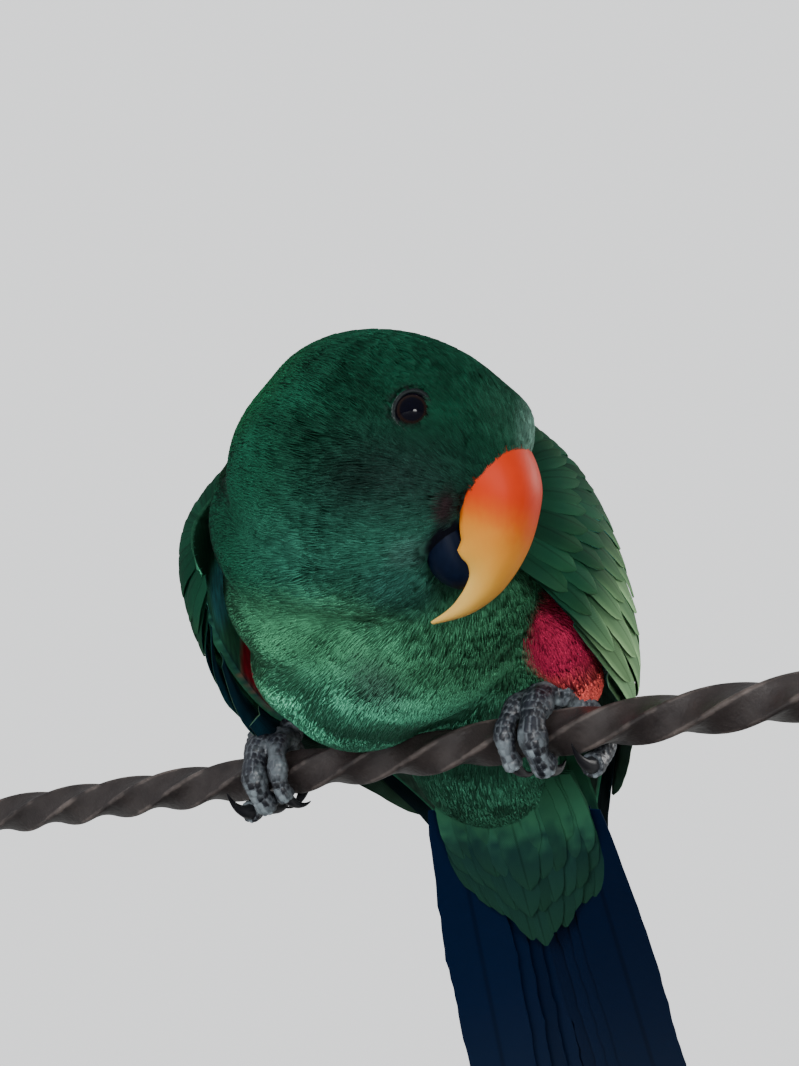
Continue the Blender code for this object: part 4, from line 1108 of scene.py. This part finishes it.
# Rows of coverts below and above the tail: how many, their length, their height and half their width.
UNDERTAIL = ((11, 54, -6.9, 5.4), (10, 43, -7.9, 5.2), (9, 31, -8.6, 5.0), (8, 19, -8.8, 4.8))
UPPERTAIL = ((9, 50, 5.6, 5.2), (8, 36, 6.2, 5.0), (7, 24, 6.6, 4.8))
TAIL_DARK, TAIL_BLUE, TAIL_TOP = (0.004, 0.014, 0.048), (0.006, 0.040, 0.130), (0.012, 0.130, 0.050)
TAIL_END = (0.12, 0.16, 0.03)
COVERT_DARK, COVERT_GREEN, COVERT_ROOT = (0.012, 0.044, 0.042), (0.030, 0.130, 0.065), (0.040, 0.165, 0.090)
TAIL_RUN = unit(body_direction(*(b - a for a, b in zip(TAIL_ROOT, TAIL_TIP))))
TAIL_LEFT = unit(LEFT - TAIL_RUN * (LEFT @ TAIL_RUN))
TAIL_UP = np.cross(TAIL_LEFT, TAIL_RUN) * np.sign(np.cross(TAIL_LEFT, TAIL_RUN)[2])
TAIL_LENGTH = np.linalg.norm(np.array(TAIL_TIP) - np.array(TAIL_ROOT))


def lay_on_tail(start, length, angle, offset, layer, climb):
    """How to lay a feather that leaves the tail's middle line at an angle."""
    a = math.radians(angle)
    way = math.cos(a) * TAIL_RUN + math.sin(a) * TAIL_LEFT
    across = math.cos(a) * TAIL_LEFT - math.sin(a) * TAIL_RUN

    def place(s, w, half):
        line = body_point(*TAIL_ROOT) + TAIL_RUN * start + way * length * s[:, None] + TAIL_LEFT * offset
        point = line[:, None] + across * w[..., None]
        aside = (point - body_point(*TAIL_ROOT)) @ TAIL_LEFT
        height = layer + climb * s[:, None] - TAIL_ARCH * aside**2
        return point + TAIL_UP * height[..., None], TAIL_UP

    return place


def plain(colour):
    """A side of a feather that has one colour."""
    return lambda points: even(colour, points.shape[:1])


def covert_under(points):
    """The coverts below the tail: green at its root like the belly, darker towards their tips."""
    along = (points - body_point(*TAIL_ROOT)) @ TAIL_RUN
    ends = smooth_step(along + 9 * wander(points, 3.0), 0, 20)
    return mixed(even(COVERT_DARK, along.shape), COVERT_ROOT, 1 - ends)


def tail(finish):
    feathers = Feathers("tail")
    draw = np.random.default_rng(41)
    for i in range(TAIL_FEATHERS):
        for side in (1, -1):
            height = 2.6 - TAIL_STEP * i - TAIL_STEP / 2 * (side > 0)
            place = lay_on_tail(5, TAIL_LENGTH - 3 - 0.35 * i**2, side * 0.6 * (i + 0.4),
                                side * (1.6 + 3.1 * i), height, 0.0)
            shape = vane_shape(30, 11, TAIL_WIDTH / 2, 0.16, draw)
            green = max(0.0, 1 - i / 2.5)

            def colours(s, share, green=green):
                colour = mixed(even(TAIL_BLUE, s.shape), TAIL_TOP, green)
                return mixed(colour, TAIL_END, 0.5 * smooth_step(s, 0.95, 0.99))

            lay_feather(feathers, place, shape, colours, plain(TAIL_DARK), thick=0.5, camber=0.3,
                        chance=draw.random())
    made = feathers.piece(finish)
    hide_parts("tail")


def tail_coverts(finish):
    feathers = Feathers("tail_coverts")
    draw = np.random.default_rng(43)
    for rows, way in ((UNDERTAIL, -1), (UPPERTAIL, 1)):
        for count, length, layer, half in rows:
            for i in range(count):
                share = 2 * i / (count - 1) - 1
                reach = length * (1 - 0.35 * abs(share)) * draw.uniform(0.95, 1.05)
                layer_here = layer - way * 2.6 * abs(share) ** 1.5 - way * 0.3 * (i % 2)
                place = lay_on_tail(-9, reach + 9, 5 * share * (1 - length / 90), 15.0 * share, layer_here,
                                    -way * 0.8)
                shape = vane_shape(14, VANE_COLUMNS, half, 0.4, draw)

                def colours(s, share, pale=draw.uniform(0.3, 0.9)):
                    edge = np.maximum(smooth_step(np.abs(share), 0.3, 0.95), smooth_step(s, 0.72, 0.98))
                    return mixed(even(COVERT_DARK, s.shape), COVERT_GREEN, pale * edge)

                lay_feather(feathers, place, shape, colours, covert_under, thick=0.4, camber=way * 0.3,
                            chance=draw.random())
    made = feathers.piece(finish)
    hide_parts("tail")


tail(vane_finish("tail_feathers", 0.42, (0.03, 0.04, 0.02), 0.1, 50.0))
tail_coverts(vane_finish("covert_feathers", 0.65, (0.030, 0.110, 0.040), 0.3, 18.0))

# Bill: an orange upper half that pales to yellow at its hooked tip, over a short blue-black lower half.
# Both are smooth horn, and each is a row of rounded sections between its ridge and its cutting edge.
UPPER_STEPS, LOWER_STEPS = 72, 40
NOTCH_AT, NOTCH_DEPTH, NOTCH_SPAN = 0.56, 1.6, 0.07
# Ridge and cutting edge of the upper half, and keel and cutting edge of the lower one, as front and up in
# the head's frame, with half their width, from the root to the tip.
CULMEN = ((15, 4), (22, 1.2), (27.2, -5.6), (28.8, -13), (28.6, -21.5), (25.8, -30.5), (20.6, -37.2),
          (13.6, -41.6))
TOMIUM = ((3, -12), (8, -13.5), (13.4, -15.5), (15.2, -20.5), (17.2, -25.2), (19.2, -29.4), (17.2, -36.0),
          (13.0, -41.2))
BILL_HALF_WIDTH = ((11.5,), (11.5,), (10.6,), (9.4,), (7.8,), (5.4,), (2.9,), (0.6,))
GONYS = ((6, -24), (9.5, -30.2), (13.5, -32.6), (17.6, -32.6), (21.2, -30.2))
LOWER_EDGE = ((6, -14.5), (10.5, -16.5), (14.2, -20.5), (17.2, -24.6), (20.6, -28.2))
LOWER_HALF_WIDTH = ((8.6,), (8.8,), (8.2,), (6.6,), (3.4,))
# Places round each side of a half, as shares of the way from its ridge to its cutting edge.
ROUND_SHARES = np.array((0.0, 0.012, 0.04, 0.085, 0.15, 0.23, 0.33, 0.45, 0.58, 0.71, 0.83, 0.93, 1.0))
BILL_COLOURS = (  # from the root to the tip
    (0.0, (0.50, 0.034, 0.002)), (0.42, (0.52, 0.018, 0.001)), (0.52, (0.52, 0.07, 0.003)),
    (0.62, (0.56, 0.20, 0.014)), (0.80, (0.58, 0.28, 0.036)), (1.0, (0.66, 0.42, 0.10)),
)
LOWER_DARK, LOWER_LIGHT = (0.001, 0.003, 0.010), (0.003, 0.007, 0.021)


def ring_faces(count, around, first=0, capped=True):
    """Faces between rings of points that follow each other, and a cap on each end."""
    index = np.arange(count * around).reshape(count, around) + first
    after = np.roll(index, -1, axis=1)
    faces = np.stack((index[:-1], after[:-1], after[1:], index[1:]), -1).reshape(-1, 4).tolist()
    if capped:
        faces += [index[0][::-1].tolist(), index[-1].tolist()]
    return faces


def rings_piece(name, rings, loop=False):
    """A closed smooth surface through rings of points. A loop's last ring is its first one again."""
    rings = np.asarray(rings)
    made = mesh_piece(name, rings.reshape(-1, 3), ring_faces(*rings.shape[:2], capped=not loop))
    bm = bmesh.new()
    bm.from_mesh(made.data)
    if loop:
        bmesh.ops.remove_doubles(bm, verts=bm.verts, dist=0.001 * MM)
    bmesh.ops.recalc_face_normals(bm, faces=bm.faces)
    bm.to_mesh(made.data)
    bm.free()
    made.data.shade_smooth()
    return made


def bill_half(name, ridge_line, edge_line, widths, tooth, keel_share, steps):
    """Rings from the ridge round to the cutting edge on each side and back across the palate."""
    t = np.linspace(0, 1, steps + 1)
    ridge, edge, half = curve(ridge_line, t), curve(edge_line, t), np.maximum(curve(widths, t)[:, 0], 0.4)
    inward = unit(edge - ridge)
    edge = edge + inward * (tooth * np.maximum(0, 1 - np.abs(t - NOTCH_AT) / NOTCH_SPAN))[:, None]
    spread = np.sqrt(np.maximum(0, 1 - (1 - np.minimum(ROUND_SHARES / 0.62, 1)) ** 2.2))
    spread = spread * (1 - 0.10 * smooth_step(ROUND_SHARES, 0.7, 1.0))
    rings = []
    for k in range(steps + 1):
        down = edge[k] - ridge[k]
        line, wide = ridge[k] + down * ROUND_SHARES[:, None], half[k] * spread
        lip, keel = ridge[k] + down * 0.97, ridge[k] + down * keel_share
        inside = ((lip, 0.72), (keel, 0.5), (keel, 0), (keel, -0.5), (lip, -0.72))
        palate = [(p, wide[-1] * aside) for p, aside in inside]
        back = list(zip(line, -wide))[:0:-1]
        rings.append([head_point(p[0], w, p[1]) for p, w in [*zip(line, wide), *palate, *back]])
    made = rings_piece(name, rings)
    store(made.data, "along", np.repeat(t, len(rings[0])))
    round_share = np.concatenate((ROUND_SHARES, np.ones(5), ROUND_SHARES[:0:-1]))
    store(made.data, "across", np.tile(round_share, steps + 1))
    return made


def horn_finish(name, roughness):
    """Horn with a fine grain along it. Returns the finish, its tree and shader, and the grain."""
    finish, tree, shader = new_material(name, roughness=roughness, specular_ior_level=0.16)
    horn = grained(tree, 700.0, 0.12, 0.0003, 5.0, (1.0, 1.0, 0.25), (roughness - 0.08, roughness + 0.14))
    feed(shader, roughness=horn["Roughness"], normal=horn["Normal"])
    return finish, tree, shader, horn["Grain"]


def upper_bill():
    made = bill_half("bill_upper", CULMEN, TOMIUM, BILL_HALF_WIDTH, NOTCH_DEPTH, 0.84, UPPER_STEPS)
    finish, tree, shader, grain = horn_finish("bill_orange", 0.44)
    shader.inputs["Subsurface Weight"].default_value = 0.12
    shader.inputs["Subsurface Radius"].default_value = (0.003, 0.001, 0.0004)
    shader.inputs["Subsurface Scale"].default_value = 0.5
    drift = calculated(tree, "MULTIPLY_ADD", grain, 0.05, value_of(tree, "along"))
    edged = calculated(tree, "MULTIPLY_ADD", value_of(tree, "across"), 0.20, drift)
    ramp = add_node(tree, "ShaderNodeValToRGB", {"Fac": edged})
    ramp.color_ramp.interpolation = "B_SPLINE"
    while len(ramp.color_ramp.elements) < len(BILL_COLOURS):
        ramp.color_ramp.elements.new(0.5)
    for element, (at, colour) in zip(ramp.color_ramp.elements, BILL_COLOURS):
        element.position, element.color = at, (*colour, 1)
    feed(shader, base_color=ramp.outputs[0])
    made.data.materials.append(finish)
    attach(made, "root")
    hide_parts("bill_upper")


def lower_bill():
    made = bill_half("bill_lower", GONYS, LOWER_EDGE, LOWER_HALF_WIDTH, 0.0, 0.8, LOWER_STEPS)
    finish, tree, shader, grain = horn_finish("bill_black", 0.42)
    shader.inputs["Specular IOR Level"].default_value = 0.07
    feed(shader, base_color=blended(tree, grain, LOWER_DARK, LOWER_LIGHT))
    made.data.materials.append(finish)
    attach(made, "root")
    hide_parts("bill_lower")


upper_bill()
lower_bill()

# Eyes: dark glossy balls with a thin brown iris, deep between bare grey lids whose rim is beaded.
PUPIL, IRIS = math.radians(35), math.radians(46)
LID_RADIUS, LID_THICK, LID_BEADS = 4.05, 0.45, 30
LID_PLANE = 2.45  # out from the eyeball's middle, the way that the eye faces
EYE_FACING = (0.14, 0.98, 0.15)  # to the front, outwards and up
PUPIL_BLACK, IRIS_DARK, IRIS_BROWN = (0.001, 0.001, 0.004), (0.004, 0.002, 0.002), (0.014, 0.006, 0.004)
LID_DARK, LID_PALE = (0.006, 0.009, 0.010), (0.11, 0.145, 0.135)


def eye_axes(side):
    """The way an eye faces, and the directions ahead and up across it."""
    facing = unit(head_point(EYE_FACING[0], side * EYE_FACING[1], EYE_FACING[2]) - HEAD_ORIGIN)
    ahead = unit(HEAD_FRONT - facing * (HEAD_FRONT @ facing))
    return facing, ahead, np.cross(ahead, facing) * -side


def eyeball(side, name, finish):
    rings, around, steps = [], 40, 28
    facing, ahead, above = eye_axes(side)
    for k in range(steps + 1):
        a = math.pi * max(0.004, min(0.996, k / steps))
        out, wide = EYE_RADIUS * math.cos(a), EYE_RADIUS * math.sin(a)
        rings.append([EYES[side] + out * facing + wide * (math.cos(b) * ahead + math.sin(b) * above)
                      for b in np.linspace(0, 2 * math.pi, around, endpoint=False)])
    made = rings_piece(name, rings)
    store(made.data, "turn", np.repeat(np.linspace(0, math.pi, steps + 1), around))
    made.data.materials.append(finish)
    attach(made, "root")
    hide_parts(name)


def eye_finish():
    finish, tree, shader = new_material("eye", roughness=0.05, specular_ior_level=0.12)
    turn = value_of(tree, "turn")
    inner = ranged(tree, turn, (PUPIL - 0.03, PUPIL + 0.05))
    outer = ranged(tree, turn, (IRIS - 0.06, IRIS + 0.10), (1.0, 0.0))
    brown = blended(tree, speckled(tree, 1500.0), IRIS_DARK, IRIS_BROWN)
    feed(shader, base_color=blended(tree, calculated(tree, "MULTIPLY", inner, outer), PUPIL_BLACK, brown))
    return finish


def lids(side, name, finish):
    """The bare rim round an eye, a soft roll with a row of small beads, drawn to a corner fore and aft."""
    rings = []
    facing, ahead, above = eye_axes(side)
    for a in np.linspace(0, 2 * math.pi, 6 * LID_BEADS, endpoint=False):
        bead = 0.5 + 0.5 * math.cos(LID_BEADS * a)
        reach = LID_RADIUS * (1 - 0.06 * math.cos(2 * a))
        out = math.cos(a) * ahead + math.sin(a) * above
        ring = []
        for b in np.linspace(0, 2 * math.pi, 14, endpoint=False):
            swell = LID_THICK * (1 + 0.20 * bead * max(0.0, math.sin(b + 0.6)))
            wide = reach + swell * 1.1 * math.cos(b)
            high = LID_PLANE + swell * 0.8 * math.sin(b) - 0.3 * max(0.0, wide - LID_RADIUS)
            ring.append(EYES[side] + wide * out + high * facing)
        rings.append(ring)
    rings.append(rings[0])
    made = rings_piece(name, rings, loop=True)
    away = points_of(made.data) - EYES[side]
    rim = np.hypot(away @ ahead, away @ above)
    low = smooth_step(-(away @ ahead) * 0.4 - (away @ above), -3.0, 2.0)
    store(made.data, "pale", low * smooth_step(rim, LID_RADIUS - 0.1, LID_RADIUS + 0.35))
    made.data.materials.append(finish)
    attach(made, "root")


def lid_finish():
    finish, tree, shader = new_material("eyelid", roughness=0.55, specular_ior_level=0.2)
    pores = grained(tree, 2200.0, 0.4, 0.0003)
    dotted = calculated(tree, "MULTIPLY", ranged(tree, pores["Grain"], (0.42, 0.60)), value_of(tree, "pale"))
    feed(shader, base_color=blended(tree, dotted, LID_DARK, LID_PALE), normal=pores["Normal"])
    return finish


EYE_FINISH, LID_FINISH = eye_finish(), lid_finish()
for side, name in ((1, "eye_right"), (-1, "eye_left")):
    eyeball(side, name, EYE_FINISH)
    lids(side, name.replace("eye", "eyelids"), LID_FINISH)

# Legs and feet: two toes grip the bar from the front and two from behind. The bare skin is charcoal,
# covered with small flat scales that show as a paler net, and each toe ends in a black hooked claw.
PERCH_HEIGHT, FOOT_SPREAD, TOE_WRAP = 118.0, 40.7, 8.4
# Toe, where it ends and starts along the bar, its radius, and its turn round the bar in degrees.
FRONT_TOES = (("2", -7.4, -3.4, 2.7, 150), ("3", 0.0, 0.6, 3.6, 166))
REAR_TOES = (("4", 9.6, 3.6, 3.3, -165), ("1", -3.6, -2.0, 2.6, -104))
ANKLE = {1: (44, 4, 11), -1: (-40, 4, 12)}  # from the middle of the bar
TARSUS_TOP = {1: (-8, 41, 25), -1: (-4, -34, 26)}
TARSUS_RADII = ((4.0,), (3.6,), (4.6,), (8.0,))
FOOT_VOXEL, SCALE_PITCH, GROOVE_WIDTH, GROOVE_DEPTH = 0.42, 1.5, 0.34, 0.22
TOE_STEPS, LIMB_SIDES, FOOT_SOFTENING = 30, 18, 5
KNUCKLE_HALF, KNUCKLE_RADIUS = 4.2, 4.4
CLAW_TURN, CLAW_LENGTH, CLAW_SIDES = math.radians(66), 11.6, 14
SCALE_DARK, SCALE_GREY, SCURF_AND_UNDERLIGHT, NET_GREY = (
    (0.008, 0.009, 0.013), (0.022, 0.025, 0.034), (0.22, 0.265, 0.29), (0.11, 0.125, 0.14)
)
CLAW_GREY, CLAW_BLACK = (0.030, 0.031, 0.036), (0.006, 0.006, 0.008)


def around_bar(x, turn, reach):
    """A point beside the bar, turned from its top towards its front, in degrees."""
    a = np.radians(turn)
    return np.stack((x + 0 * a, -reach * np.sin(a), PERCH_HEIGHT + reach * np.cos(a)), -1)


def toe_path(foot_x, spread, start, end_turn, radius):
    """A toe's middle line round the bar, with its pads in the radii."""
    way = 1 if end_turn > 0 else -1
    t = np.linspace(0, 1, TOE_STEPS + 1)
    turn = lerp(-12 * way, end_turn, t)
    out = TOE_WRAP + 1.2 * np.exp(-((t - 0.05) / 0.16) ** 2)
    x = foot_x + lerp(start, spread, np.minimum(1.0, 1.6 * t))
    pads = 1 + 0.12 * np.cos(2 * math.pi * t * 3)
    return around_bar(x, turn, out), radius * lerp(1.06, 0.84, t) * pads


def tube_rings(points, radii, sides):
    """Rings round a path, all turned alike."""
    runs = unit(np.gradient(points, axis=0))
    across = unit(np.cross(runs[0], (0.31, 0.84, 0.44)))
    turns = np.linspace(0, 2 * math.pi, sides, endpoint=False)
    rings = []
    for point, run, radius in zip(points, runs, radii):
        across = unit(across - run * (across @ run))
        other = np.cross(run, across)
        rings.append(point + radius * (np.cos(turns)[:, None] * across + np.sin(turns)[:, None] * other))
    return np.array(rings)


def scale_seeds(points, radii):
    """Middles of the scales round a limb, in rings that are set half a scale against each other."""
    steps = np.linalg.norm(np.diff(points, axis=0), axis=-1)
    length = np.concatenate(((0,), np.cumsum(steps)))
    rings = max(2, int(length[-1] / (SCALE_PITCH * 0.9)))
    at = np.linspace(0, length[-1], rings)
    middles = np.stack([np.interp(at, length, points[:, i]) for i in range(3)], -1)
    radius = np.interp(at, length, radii)
    seeds = []
    for k, ring in enumerate(tube_rings(middles, radius, 24)):
        count = max(5, round(2 * math.pi * radius[k] / (SCALE_PITCH * 1.15)))
        turns = (np.arange(count) + 0.5 * (k % 2)) / count * 24
        seeds += [ring[int(x) % 24] for x in turns]
    return seeds


def joined_rings(parts):
    """One mesh of several closed ringed limbs, as points and faces."""
    faces, total = [], 0
    for rings in parts:
        count, around = rings.shape[:2]
        faces += ring_faces(count, around, total)
        total += count * around
    return np.concatenate([rings.reshape(-1, 3) for rings in parts]), faces


def foot(side, name, finish, claw_finish):
    foot_x = side * FOOT_SPREAD
    ankle = np.array(ANKLE[side]) + (0, 0, PERCH_HEIGHT)
    top = body_point(*TARSUS_TOP[side])
    t = np.linspace(0, 1, 24)
    limbs = [(ankle + (top - ankle) * t[:, None], curve(TARSUS_RADII, t)[:, 0])]
    rise = np.linspace(-KNUCKLE_HALF, KNUCKLE_HALF, 9)
    knuckle = ankle + np.array((0, 0, 1.0)) * rise[:, None]
    limbs.append((knuckle, np.sqrt(np.maximum(0.2, KNUCKLE_RADIUS**2 - rise**2))))
    for toe, spread, start, radius, end_turn in (*FRONT_TOES, *REAR_TOES):
        path, radii = toe_path(foot_x, side * spread, side * start, end_turn, radius)
        limbs.append((path, radii))
        claw(f"claw_{name[4:]}_{toe}", path, radii[-1], claw_finish)
    crossing = mesh_piece(name, *joined_rings([tube_rings(p, r, LIMB_SIDES) for p, r in limbs]))
    made = melted(crossing, FOOT_VOXEL, FOOT_SOFTENING)
    seeds = [seed for path, radii in limbs for seed in scale_seeds(path, radii)]
    tree = kdtree.KDTree(len(seeds))
    for i, seed in enumerate(seeds):
        tree.insert(Vector(seed), i)
    tree.balance()
    points, normals = points_of(made.data), normals_of(made.data)
    near = [tree.find_n(Vector(p), 2) for p in points]
    gap = np.array([two[1][2] - two[0][2] for two in near])
    groove = 1 - smooth_step(gap, 0.0, GROOVE_WIDTH)
    crown = smooth_step(gap, 0.2, 1.4)
    chance = np.random.default_rng(70).random(len(seeds))
    made.data.vertices.foreach_set(
        "co", ((points + normals * (0.10 * crown - GROOVE_DEPTH * groove)[:, None]) * MM).ravel()
    )
    store(made.data, "groove", groove)
    store(made.data, "chance", [chance[two[0][1]] for two in near])
    # Painted highlight: how far the skin faces down, to be painted paler as if lit from below.
    store(made.data, "below", smooth_step(-normals[:, 2], 0.0, 0.9))
    made.data.update()
    made.data.shade_smooth()
    made.data.materials.append(finish)
    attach(made, "root")
    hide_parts(name)


def claw(name, path, radius, finish):
    """A hooked claw that goes on from the end of a toe."""
    end, run = path[-1], unit(path[-1] - path[-2])
    inward = unit(np.array((0, -end[1], PERCH_HEIGHT - end[2])))
    t = np.linspace(0, 1, 22)
    a = CLAW_TURN * t
    reach = CLAW_LENGTH / CLAW_TURN
    line = end - run * 0.8 + (np.sin(a)[:, None] * run + (1 - np.cos(a))[:, None] * inward) * reach
    radii = lerp(radius * 0.74, 0.16, t**0.85)
    made = rings_piece(name, tube_rings(line, radii, CLAW_SIDES))
    store(made.data, "along", np.repeat(t, CLAW_SIDES))
    made.data.materials.append(finish)
    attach(made, "root")
    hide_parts(name)


def foot_finish():
    """Charcoal scales, each in its own shade, pale and worn in places, paler on their undersides as a
    painted highlight of light from below, with a paler net between them.
    """
    finish, tree, shader = new_material("foot_skin", roughness=0.5)
    chance = value_of(tree, "chance")
    plate = blended(tree, chance, SCALE_DARK, SCALE_GREY)
    dusty = ranged(tree, speckled(tree, 140.0), (0.52, 0.68), (0.0, 0.6))
    some = ranged(tree, chance, (0.45, 0.75))
    # Real scurf and wear in noisy patches, and a painted highlight on down-facing scales.
    pale = calculated(tree, "MULTIPLY_ADD", value_of(tree, "below"), some, dusty, use_clamp=True)
    net = blended(tree, value_of(tree, "groove"), blended(tree, pale, plate, SCURF_AND_UNDERLIGHT), NET_GREY)
    skin_grain = grained(tree, 1300.0, 0.35, 0.0003, 3.0, rough=(0.26, 0.52))
    feed(shader, base_color=net, roughness=skin_grain["Roughness"], normal=skin_grain["Normal"])
    return finish


def claw_finish():
    finish, tree, shader, grain = horn_finish("claw_horn", 0.3)
    drift = calculated(tree, "MULTIPLY_ADD", grain, 0.3, value_of(tree, "along"))
    feed(shader, base_color=blended(tree, drift, CLAW_GREY, CLAW_BLACK))
    return finish


FOOT_FINISH, CLAW_FINISH = foot_finish(), claw_finish()
for side, name in ((1, "leg_left"), (-1, "leg_right")):
    foot(side, name, FOOT_FINISH, CLAW_FINISH)

# Perch: a square iron bar twisted to the left while hot, then painted dark brown. The paint lies thick
# in places and is rubbed thin along the ridges.
PERCH_LENGTH, PERCH_SIDE, PERCH_EDGE, PERCH_TURN = 318.0, 8.4, 0.9, 78.0
PERCH_RINGS, CORNER_POINTS, FLAT_POINTS = 300, 5, 5
PERCH_HOLLOW = 0.25  # the flats sink a little between the ridges
PAINT_DARK, PAINT_BROWN, PAINT_WORN = (0.010, 0.008, 0.009), (0.050, 0.041, 0.039), (0.125, 0.102, 0.093)


def perch():
    half = PERCH_SIDE / 2
    inset = half - PERCH_EDGE
    profile, ridge = [], []
    for quarter in range(4):
        turn = quarter * math.pi / 2
        spin = np.array(((math.cos(turn), -math.sin(turn)), (math.sin(turn), math.cos(turn))))
        for a in np.linspace(0, math.pi / 2, CORNER_POINTS):
            profile.append(spin @ (inset + PERCH_EDGE * np.array((math.cos(a), math.sin(a)))))
            ridge.append(1.0)
        for s in np.linspace(0, 1, FLAT_POINTS + 2)[1:-1]:
            flat = (lerp(inset, -inset, s), half - PERCH_HOLLOW * math.sin(math.pi * s))
            profile.append(spin @ np.array(flat))
            ridge.append(abs(2 * s - 1) ** 4)
    profile = np.array(profile)
    x = np.linspace(-PERCH_LENGTH / 2, PERCH_LENGTH / 2, PERCH_RINGS + 1)
    a = -2 * math.pi * x / PERCH_TURN
    swell = 1 + 0.012 * np.sin(x / 9.3) * np.sin(x / 23.0 + 1)
    end = np.minimum(1.0, 0.9 + (PERCH_LENGTH / 2 - np.abs(x)) / 12)
    p, q = profile[:, 0] * (swell * end)[:, None], profile[:, 1] * (swell * end)[:, None]
    y = p * np.cos(a)[:, None] - q * np.sin(a)[:, None]
    z = PERCH_HEIGHT + p * np.sin(a)[:, None] + q * np.cos(a)[:, None]
    made = rings_piece("perch_bar", np.stack((np.broadcast_to(x[:, None], y.shape), y, z), -1))
    store(made.data, "ridge", np.tile(ridge, PERCH_RINGS + 1))
    made.data.set_sharp_from_angle(angle=math.radians(50))
    return made


def perch_finish():
    finish, tree, shader = new_material("iron_paint", roughness=0.4)
    thick = speckled(tree, 160.0, 3.0)
    fine = grained(tree, 900.0, 0.0, 0.0, 3.0, rough=(0.28, 0.55))
    worn = ranged(tree, calculated(tree, "MULTIPLY", value_of(tree, "ridge"), thick), (0.42, 0.72))
    tone = blended(tree, worn, blended(tree, thick, PAINT_DARK, PAINT_BROWN), PAINT_WORN)
    height = calculated(tree, "MULTIPLY_ADD", thick, 3.0, fine["Grain"])
    bump = add_node(tree, "ShaderNodeBump", {"Height": height, "Strength": 0.35, "Distance": 0.0004})
    feed(shader, base_color=tone, roughness=fine["Roughness"], normal=bump.outputs["Normal"])
    return finish


BAR = perch()
BAR.data.materials.append(perch_finish())
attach(BAR, "root")
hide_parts("perch_bar")

# Stand: a black lacquered base board with two brushed steel rods under the ends of the bar, each held
# by a turned collar screwed to the board and another under the bar.
ROD_X, ROD_RADIUS = 152.0, 4.0
COLLARS = (  # name, lowest point, profile of radius and height
    ("foot", 10.0, ((7.6, 0.0), (7.6, 1.8), (7.0, 2.4), (5.4, 2.6), (5.0, 5.4), (4.6, 5.8))),
    ("head", 104.5, ((4.7, 0.0), (5.2, 0.4), (5.2, 3.4), (4.7, 3.8))),
)
LACQUER_BLACK, LACQUER_GREY, STEEL_GREY = (0.006, 0.006, 0.006), (0.020, 0.019, 0.018), (0.42, 0.42, 0.43)


def lacquer():
    finish, tree, shader = new_material("black_lacquer", roughness=0.3, coat_weight=0.3, coat_roughness=0.15)
    wood = grained(tree, 500.0, 0.06, 0.0002, 4.0, (0.06, 1.0, 1.0), (0.24, 0.42))
    tone = blended(tree, wood["Grain"], LACQUER_BLACK, LACQUER_GREY)
    feed(shader, base_color=tone, roughness=wood["Roughness"], normal=wood["Normal"])
    return finish


def brushed_steel():
    finish, tree, shader = new_material("brushed_steel", base_color=(*STEEL_GREY, 1), metallic=1.0)
    brush = grained(tree, 1800.0, 0.08, 0.0001, 3.0, (0.15, 0.15, 1.0), (0.22, 0.42))
    feed(shader, roughness=brush["Roughness"], normal=brush["Normal"])
    return finish


def collar(side, kind, low, profile, finish):
    turns = np.linspace(0, 2 * math.pi, 48, endpoint=False)
    inner = [(ROD_RADIUS - 0.2, height) for _, height in (profile[-1], profile[0])]
    rings = [
        [(side * ROD_X + r * math.cos(a), r * math.sin(a), low + h) for a in turns]
        for r, h in (*profile, *inner, profile[0])
    ]
    made = rings_piece(f"stand_collar_{kind}_{'left' if side > 0 else 'right'}", rings, loop=True)
    made.data.set_sharp_from_angle(angle=math.radians(30))
    made.data.materials.append(finish)
    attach(made, "root")


STEEL = brushed_steel()
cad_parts["stand_base"].data.materials[0] = lacquer()
for side, name in ((1, "stand_rod_left"), (-1, "stand_rod_right")):
    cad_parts[name].data.materials[0] = STEEL
    for kind, low, profile in COLLARS:
        collar(side, kind, low, profile, STEEL)
